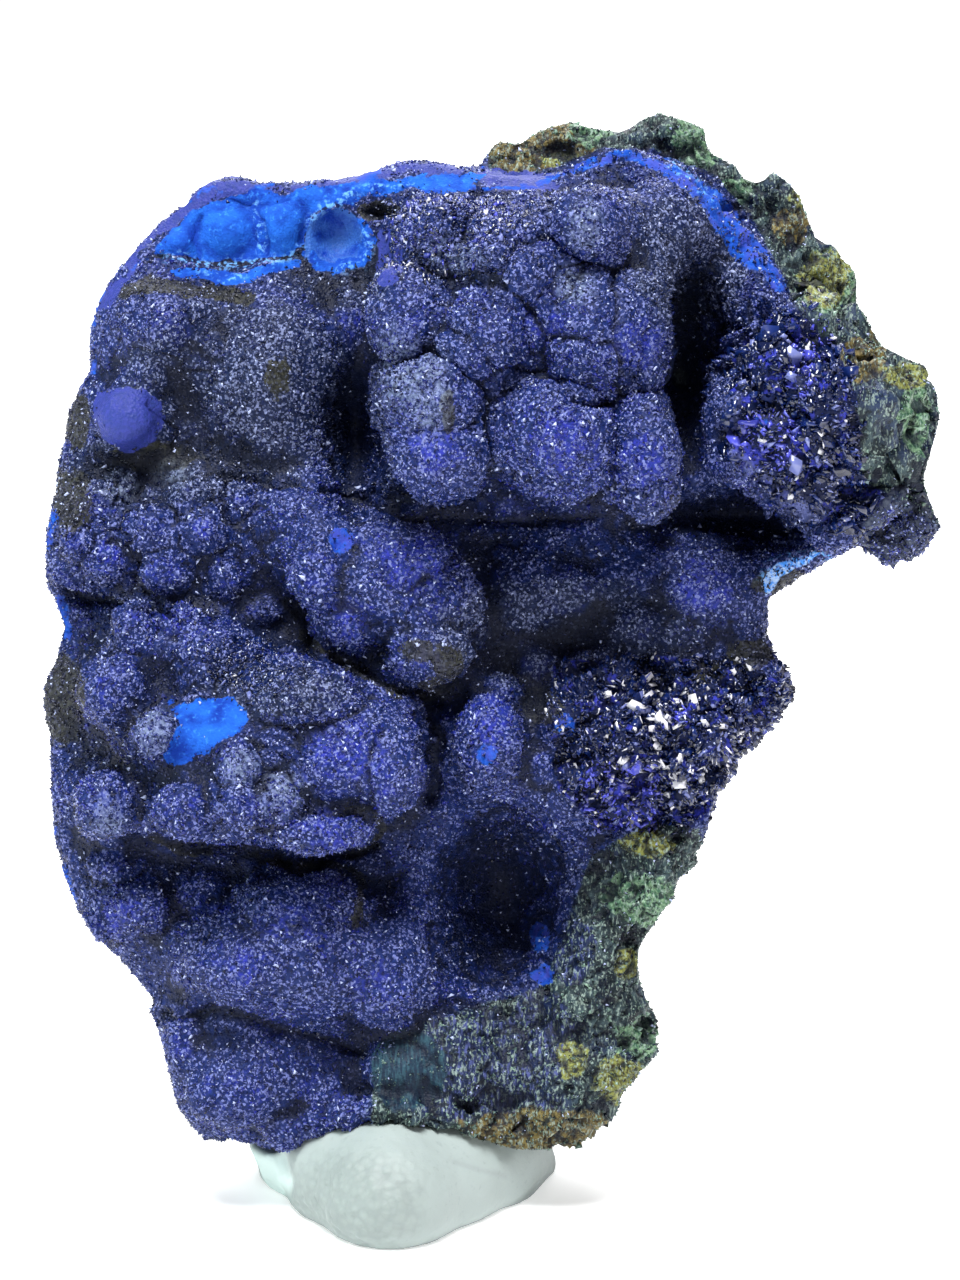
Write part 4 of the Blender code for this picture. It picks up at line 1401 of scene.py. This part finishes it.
def druse_density(points, outward, fields):
    """Where crystals stand: on the indigo crust, thinly on stain, never on bare blue."""
    bare = np.clip(fields["azure"] + fields["cap"] + fields["bowl"] + fields["rim"], 0.0, 1.0)
    cover = (1.0 - bare) * (1.0 - 0.2 * fields["olive"]) * (1.0 - 0.8 * fields["matrix"])
    cover *= 1.0 - 0.6 * fields["pit"]
    cover *= 1.0 - 0.8 * fields["cluster"]
    cover *= 1.0 - 0.4 * fields["crevice"]
    return np.clip(cover, 0.0, 1.0) * soft_step(points[:, 2], -11.6, -10.0) * soft_step(outward[:, 2],
        -0.6, 0.0)


def druse_piece(number):
    """One share of the druse."""
    density = druse_density(points_of(front), normals_of(front), front_fields)
    places, outward, here, dice = scatter(front, front_fields, density, DRUSE_COUNT, 100 + number)
    frames = standing_frames(outward, dice, DRUSE_TILT)
    grow = np.exp(0.35 * dice.normal(size=DRUSE_COUNT)) * (0.9 + 0.25 * hills(places, 4.0, 1))
    sizes = (DRUSE_WIDTH * grow, DRUSE_LENGTH * grow)
    piece = crystal_solids(f"druse_{number}", POINTED, POINTED_FACES, places, frames, sizes)
    tone = np.repeat(dice.random(DRUSE_COUNT), len(POINTED))
    set_field(piece, "tone", tone)
    # Painted shade: pits darken the crystals as crevices do.
    here["crevice"] = np.maximum(here["crevice"], 0.8 * here["pit"])
    for name in ("violet", "frost", "olive", "matrix", "edge", "crevice", "dull"):
        set_field(piece, name, np.repeat(here[name], len(POINTED)))
    return piece


druse = [druse_piece(number) for number in range(DRUSE_PIECES)]
print("druse:", sum(triangles_in(piece) for piece in druse), "triangles")

# %% [markdown]
# The crystals vary in colour one by one. A stored number, `tone`, is constant over a crystal:
# most are deep indigo and some are violet. By tone a share are painted lilac and a few almost
# white, as painted glints, more of them on bulges; crystals in crevices and pits get painted
# shade. Azurite's refractive index is about 1.7. The druse gets a little less, because so many
# of its faces are dusty, and the larger blades get the full value.

# %% Druse material
def druse_glass():
    """Glossy indigo crystals, each with its own tone."""
    material, tree, shader = new_material("druse_crystals")
    place = in_millimetres(tree)
    broad = clouds(tree, place, 4.0)
    tone = field(tree, "tone")
    body = blend(tree, ramp(tree, broad, 0.42, 0.62), INDIGO, INDIGO_VIOLET)
    colour = blend(tree, ramp(tree, tone, 0.1, 0.7), INDIGO_DEEP, body)
    violet = sums(tree, "MULTIPLY", field(tree, "violet"), ramp(tree, tone, 0.1, 0.7))
    colour = blend(tree, violet, colour, INDIGO_VIOLET)
    # Painted glints: crystals high in tone turn lilac, more on bulges and frost, and grey in dull places.
    lit = sums(tree, "ADD", tone, sums(tree, "MULTIPLY", field(tree, "edge"), 0.12))
    lit = sums(tree, "ADD", lit, sums(tree, "MULTIPLY", field(tree, "frost"), 0.15))
    colour = blend(tree, ramp(tree, lit, 0.70, 0.92), colour, LILAC_GLINT)
    grey = blend(tree, ramp(tree, lit, 0.65, 0.95), DULL_NAVY, DULL_GREY)
    colour = blend(tree, sums(tree, "MULTIPLY", field(tree, "dull"), 0.7), colour, grey)
    frost = sums(tree, "MULTIPLY", field(tree, "frost"), ramp(tree, tone, 0.4, 0.8))
    colour = blend(tree, sums(tree, "MULTIPLY", frost, 0.4), colour, FROST)
    stained = blend(tree, ramp(tree, tone, 0.3, 0.9), OLIVE_DARK, OLIVE)
    stain = torn(tree, field(tree, "olive"), clouds(tree, place, 0.8), 1.6)
    colour = blend(tree, sums(tree, "MULTIPLY", stain, 0.75), colour, stained)
    stone = blend(tree, ramp(tree, tone, 0.2, 0.9), MATRIX_DARK, MALACHITE_PALE)
    colour = blend(tree, sums(tree, "MULTIPLY", field(tree, "matrix"), 0.8), colour, stone)
    # Painted shade: crystals in crevices and pits go near black.
    colour = blend(tree, sums(tree, "MULTIPLY", field(tree, "crevice"), 0.7), colour, SHADE_BLACK)
    # Painted glints: the highest tones turn almost white.
    colour = blend(tree, ramp(tree, tone, 0.945, 0.965), colour, BRIGHT_GLINT)
    tree.links.new(colour, shader.inputs["Base Color"])
    shader.inputs["Roughness"].default_value = 0.16
    shader.inputs["IOR"].default_value = 1.6
    shader.inputs["Specular IOR Level"].default_value = 0.28
    return material


glass = druse_glass()
for piece in druse:
    piece.data.materials.append(glass)
    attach(piece, "root")
    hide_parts("azurite_specimen")

# %% [markdown]
# ## Bladed clusters
#
# On the right the azurite grew as blades, flat prisms with a chisel tip, most of them from a
# quarter to about half a millimetre long. They stand in sprays on the cluster, on the lower
# right heap and on the crown of the boss. The same copying function builds them from a blade
# shape, and some larger blocks and bars stand among them. A share of the blades, most of all
# among the bars, are painted white as glints.

# %% Blades
BLADE = np.array([
    [1.0, 0.45, -0.4], [-1.0, 0.45, -0.4], [-1.0, -0.45, -0.4], [1.0, -0.45, -0.4],
    [0.75, 0.0, 1.0], [-0.75, 0.0, 0.9],
])
BLADE_FACES = np.array([
    [0, 2, 1], [0, 3, 2], [0, 1, 5], [0, 5, 4], [2, 3, 4], [2, 4, 5], [3, 0, 4], [1, 2, 5],
])
# Each bed: edge as seen, number of blades, half width and length in millimetres, its share
# of blades painted white as glints, and how violet it is.
BLADE_BEDS = {
    "right_cluster": (CLUSTER_BLADES, 3600, 0.12, 0.23, 0.03, 0.25),
    "cluster_blocks": (CLUSTER_BLADES, 420, 0.36, 0.42, 0.01, 0.3),
    "heap_bars": (HEAP_BARS, 310, 0.20, 0.42, 0.34, 0.0),
    "glint_heap": (GLINT_HEAP, 5600, 0.10, 0.27, 0.06, 0.0),
    "crown": (seen((385, 207), (440, 198), (500, 204), (540, 215), (500, 276), (440, 282), (391, 270)),
              1400, 0.10, 0.20, 0.03, 0.4),
    "dark_glossy": (seen((188, 643), (267, 642), (297, 688), (250, 696), (208, 678)),
                    700, 0.10, 0.20, 0.02, 0.1),
    "edge_knob": (seen((782, 665), (794, 679), (797, 699), (777, 708), (768, 685)),
                  260, 0.13, 0.3, 0.02, 0.1),
}
BLADE_LEAN = 0.45
VIOLET_MOUNDS = seen_rows([(622, 800, 3.0), (678, 714, 0.9), (812, 338, 1.6), (768, 440, 2.2),
    (800, 380, 1.2)])


def blade_bed(name, outline, count, width, length, white, violet, seed):
    """A bed of blades inside an outline seen on the face."""
    points, outward = points_of(front), normals_of(front)
    density = patch(seen_at(points), outline, 1.0) * soft_step(outward[:, 2], -0.5, 0.1)
    density *= soft_step(points[:, 2], -11.0, -9.0) + 1e-9
    places, outward, here, dice = scatter(front, front_fields, density, count, seed)
    sprays = np.stack([hills(places, 1.8, layer) for layer in range(3)], 1)
    frames = standing_frames(outward + 1.2 * sprays, dice, BLADE_LEAN)
    tone = dice.random(count)
    grow = np.exp(np.clip(0.4 * dice.normal(size=count), -1.0, 0.7))
    bed = crystal_solids(name, BLADE, BLADE_FACES, places, frames, (width * grow, length * grow))
    set_field(bed, "tone", np.repeat(tone, len(BLADE)))
    set_field(bed, "white", np.repeat(dice.random(count) < white, len(BLADE)))
    mounds = [spot(seen_at(places), (u, v), (r, r), 1.0) for u, v, r in VIOLET_MOUNDS]
    set_field(bed, "violet", np.repeat(np.maximum(violet, np.max(mounds, axis=0)), len(BLADE)))
    return bed


beds = [blade_bed(name, *row, seed) for seed, (name, row) in enumerate(BLADE_BEDS.items(), 200)]
print("blades:", sum(triangles_in(bed) for bed in beds), "triangles")


# %% Blade material
# White for the painted glints on blades.
GLINT_WHITE = (0.68, 0.68, 0.74)


def blade_glass():
    """Dark glossy violet-blue blades, some painted lilac and a few painted white, as painted glints."""
    material, tree, shader = new_material("azurite_blades")
    place = in_millimetres(tree)
    tone = field(tree, "tone")
    violet = torn(tree, field(tree, "violet"), clouds(tree, place, 1.6), 1.2)
    body = blend(tree, violet, INDIGO, CLUSTER_VIOLET)
    colour = blend(tree, ramp(tree, tone, 0.3, 0.8), INDIGO_DEEP, body)
    # Painted glints: high tones turn lilac, and the blades chosen as white turn glint white.
    colour = blend(tree, ramp(tree, tone, 0.90, 0.93), colour, LILAC_GLINT)
    colour = blend(tree, field(tree, "white"), colour, GLINT_WHITE)
    tree.links.new(colour, shader.inputs["Base Color"])
    feed(tree, shader.inputs["Roughness"], sums(tree, "ADD", 0.08, sums(tree, "MULTIPLY", tone, 0.2)))
    shader.inputs["IOR"].default_value = 1.7
    shader.inputs["Specular IOR Level"].default_value = 0.4
    return material


blades = blade_glass()
for bed in beds:
    bed.data.materials.append(blades)
    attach(bed, "root")
    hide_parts("azurite_specimen")

# %% [markdown]
# ## The putty foot
#
# Mineral putty is soft and takes a print of whatever presses it. The fixed solid already has
# the right seat and outline. A fine copy gets the print of a thumb: ridges and small scales,
# a crease down its left side and a few faint folds near the tip.

# %% Putty
PUTTY_VOXEL = 0.24
PUTTY_SMOOTHING = 6
RIDGE_SPACING = 0.55
SCALE_SIZE = 0.6
# Folds pressed into the putty, as seen: line, width and depth in millimetres.
PUTTY_FOLDS = [
    (seen((281, 1156), (288, 1180), (284, 1206)), 0.6, 0.25),
    (seen((372, 1170), (396, 1182), (412, 1200)), 0.3, 0.05),
    (seen((455, 1162), (480, 1170), (505, 1176)), 0.3, 0.05),
    (seen((336, 1230), (350, 1240), (372, 1247)), 0.3, 0.10),
    (seen((300, 1212), (322, 1226), (340, 1242)), 0.3, 0.08),
]
PUTTY_OUTLINE = seen(
    (249, 1146), (262, 1176), (281, 1205), (310, 1230), (336, 1245), (373, 1255), (403, 1253), (449, 1237),
    (504, 1211), (540, 1182), (552, 1169), (553, 1150), (540, 1100), (262, 1100)
)
THUMB_PRINT = seen_spots([(352, 1200, 5.2, 3.6)])[0]
LEFT_FACET = seen((246, 1150), (281, 1154), (290, 1182), (283, 1207), (262, 1186))


def putty_foot():
    """The pressed lump with its prints."""
    item = copy_node("putty_foot", "putty_lump")
    add_remesh(item, PUTTY_VOXEL)
    add_smoothing(item, PUTTY_SMOOTHING)
    apply_modifiers(item)
    points, outward = points_of(item), normals_of(item)
    world = to_world(points) / MM
    above = soft_step(world[:, 2], 0.1, 0.8)
    ridges = np.sin((world[:, 0] * 0.8 + world[:, 2] * 1.1 + 0.6 * hills(points, 3.0,
        1)) * 2 * math.pi / RIDGE_SPACING)
    near = grains(points, SCALE_SIZE, 2)[0]
    spots = seen_at(points)
    front_side = soft_step(outward[:, 2], 0.0, 0.3)
    thumb = spot(spots, THUMB_PRINT[0], THUMB_PRINT[1], 1.0) * front_side
    height = (0.010 + 0.02 * thumb) * ridges + (0.02 + 0.22 * thumb) * (0.5 - near)
    height += 0.06 * rough_hills(points, 2.5, 2, 1)
    for line, width, depth in PUTTY_FOLDS:
        height -= depth * front_side * stroke(spots, line, width)
    points = points + outward * (height * above)[:, None]
    trim = trimmed(points, PUTTY_OUTLINE, 0.05)
    move_points(item, points + (trim - points) * above[:, None])
    # The left facet's mask, for painted mint light.
    set_field(item, "facet", patch(spots, LEFT_FACET, 0.8) * front_side)
    set_field(item, "thumb", thumb)
    set_field(item, "pressed",
        np.max([stroke(spots, row[0], row[1]) for row in PUTTY_FOLDS], axis=0) * front_side)
    item.data.shade_smooth()
    return item


foot = putty_foot()
print("putty:", triangles_in(foot), "triangles")


# %% Putty material
PUTTY_SHADE = (0.255, 0.305, 0.295)
PUTTY_GREY = (0.300, 0.350, 0.340)
PUTTY_SPECK = (0.23, 0.275, 0.265)
PUTTY_PRINT_DARK = (0.195, 0.235, 0.220)
PUTTY_CREASE_SHADE = (0.17, 0.20, 0.20)
# Painted light on the left facet.
PUTTY_LIT_MINT = (0.57, 0.69, 0.66)


def putty_clay():
    """Matt grey putty, darker over the thumb print, with painted shade in its print scales and folds and
    painted mint light on its left facet.
    """
    material, tree, shader = new_material("mineral_putty")
    place = in_millimetres(tree)
    colour = blend(tree, clouds(tree, place, 3.0), PUTTY_SHADE, PUTTY_GREY)
    colour = blend(tree, ramp(tree, clouds(tree, place, 0.5), 0.6, 0.8), colour, PUTTY_SPECK)
    # Darker over the thumb print.
    colour = blend(tree, sums(tree, "MULTIPLY", field(tree, "thumb"), 0.55), colour, PUTTY_PRINT_DARK)
    scales = sums(tree, "MULTIPLY", field(tree, "thumb"), cells(tree, place, SCALE_SIZE, "Distance"))
    # Painted shade in the print's scale edges and in the pressed folds.
    colour = blend(tree, sums(tree, "MULTIPLY", ramp(tree, scales, 0.25, 0.6), 0.35), colour, PUTTY_CREASE_SHADE)
    colour = blend(tree, sums(tree, "MULTIPLY", field(tree, "pressed"), 0.3), colour, PUTTY_CREASE_SHADE)
    # Painted light: the left facet is painted pale mint, as lit from the left.
    colour = blend(tree, field(tree, "facet"), colour, PUTTY_LIT_MINT)
    tree.links.new(colour, shader.inputs["Base Color"])
    shader.inputs["Roughness"].default_value = 0.6
    prints = sums(tree, "SUBTRACT", sums(tree, "MULTIPLY", clouds(tree, place, 0.3, 4.0), 0.5), scales)
    bumps(tree, shader, prints, 0.5, 0.12)
    return material


foot.data.materials.clear()
foot.data.materials.append(putty_clay())
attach(foot, "root")
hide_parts("putty_foot")

# %% [markdown]
# ## Floor, light and camera
#
# The specimen stands on a white seamless floor under a broad soft light from above and in
# front. A white world fills the shadows, with a faint mint card on the left and a faint pink
# one on the right.

# %% Floor
FLOOR_RADIUS = 4.0
FLOOR_GLOW = 0.45


def white_floor():
    """A wide white disc."""
    build = bmesh.new()
    bmesh.ops.create_circle(build, cap_ends=True, segments=96, radius=FLOOR_RADIUS)
    mesh = bpy.data.meshes.new("white_floor")
    build.to_mesh(mesh)
    build.free()
    floor = bpy.data.objects.new("white_floor", mesh)
    bpy.context.scene.collection.objects.link(floor)
    material, tree, shader = new_material("white_paper")
    grain = clouds(tree, in_millimetres(tree), 2.0)
    tree.links.new(blend(tree, grain, (0.93, 0.93, 0.93), (0.95, 0.95, 0.95)), shader.inputs["Base Color"])
    shader.inputs["Roughness"].default_value = 0.8
    shader.inputs["Emission Color"].default_value = (1.0, 1.0, 1.0, 1.0)
    shader.inputs["Emission Strength"].default_value = FLOOR_GLOW
    mesh.materials.append(material)
    return floor


floor = white_floor()


# %% Lights
def softbox(name, place, target, size, power, colour):
    """A square soft light, aimed at a point, all in metres."""
    light = bpy.data.lights.new(name, "AREA")
    light.shape = "SQUARE"
    light.size = size
    light.energy = power
    light.color = colour
    lamp = bpy.data.objects.new(name, light)
    lamp.location = place
    lamp.rotation_euler = (Vector(target) - Vector(place)).to_track_quat("-Z", "Y").to_euler()
    lamp.visible_camera = False
    bpy.context.scene.collection.objects.link(lamp)
    return lamp


MIDDLE = (0.0, 0.0, 0.035)
ROOM_LIGHT = 0.22
softbox("top_light", (-0.06, -0.28, 0.80), MIDDLE, 0.30, 14.0, (1.0, 1.0, 1.0))
softbox("far_light", (0.0, 1.6, 1.4), (0.0, 1.2, 0.0), 1.6, 60.0, (1.0, 1.0, 1.0))
softbox("mint_card", (-0.6, -0.15, 0.15), MIDDLE, 0.3, 1.4, (0.8, 1.0, 0.95))
softbox("pink_card", (0.6, -0.15, 0.2), MIDDLE, 0.3, 0.6, (1.0, 0.9, 0.95))
world = bpy.data.worlds.new("white_room")
world.use_nodes = True
world.node_tree.nodes["Background"].inputs["Color"].default_value = (1.0, 1.0, 1.0, 1.0)
world.node_tree.nodes["Background"].inputs["Strength"].default_value = ROOM_LIGHT
bpy.context.scene.world = world
bpy.context.scene.view_settings.view_transform = "Standard"

# %% Camera
FRAME_TALL = 88.9
SENSOR = 24.0


def face_camera():
    """A camera at the viewer's eye, square to the leaning face."""
    camera = bpy.data.cameras.new("viewer")
    camera.sensor_fit = "AUTO"
    camera.sensor_width = SENSOR
    camera.lens = SENSOR * EYE_DISTANCE / FRAME_TALL
    camera.clip_start, camera.clip_end = 0.01, 20.0
    viewer = bpy.data.objects.new("viewer", camera)
    viewer.location = to_world(np.array([EYE]))[0]
    viewer.rotation_euler = (math.pi / 2 - LEAN_BACK, 0.0, 0.0)
    bpy.context.scene.collection.objects.link(viewer)
    return viewer


bpy.context.scene.camera = face_camera()
print("camera at", [round(part, 3) for part in bpy.context.scene.camera.location])

# %% Count what was made
MOST_TRIANGLES = 1000000
total = sum(triangles_in(piece) for piece in [front, back, foot] + druse + beds)
print("triangles in all:", total, "of at most", MOST_TRIANGLES)
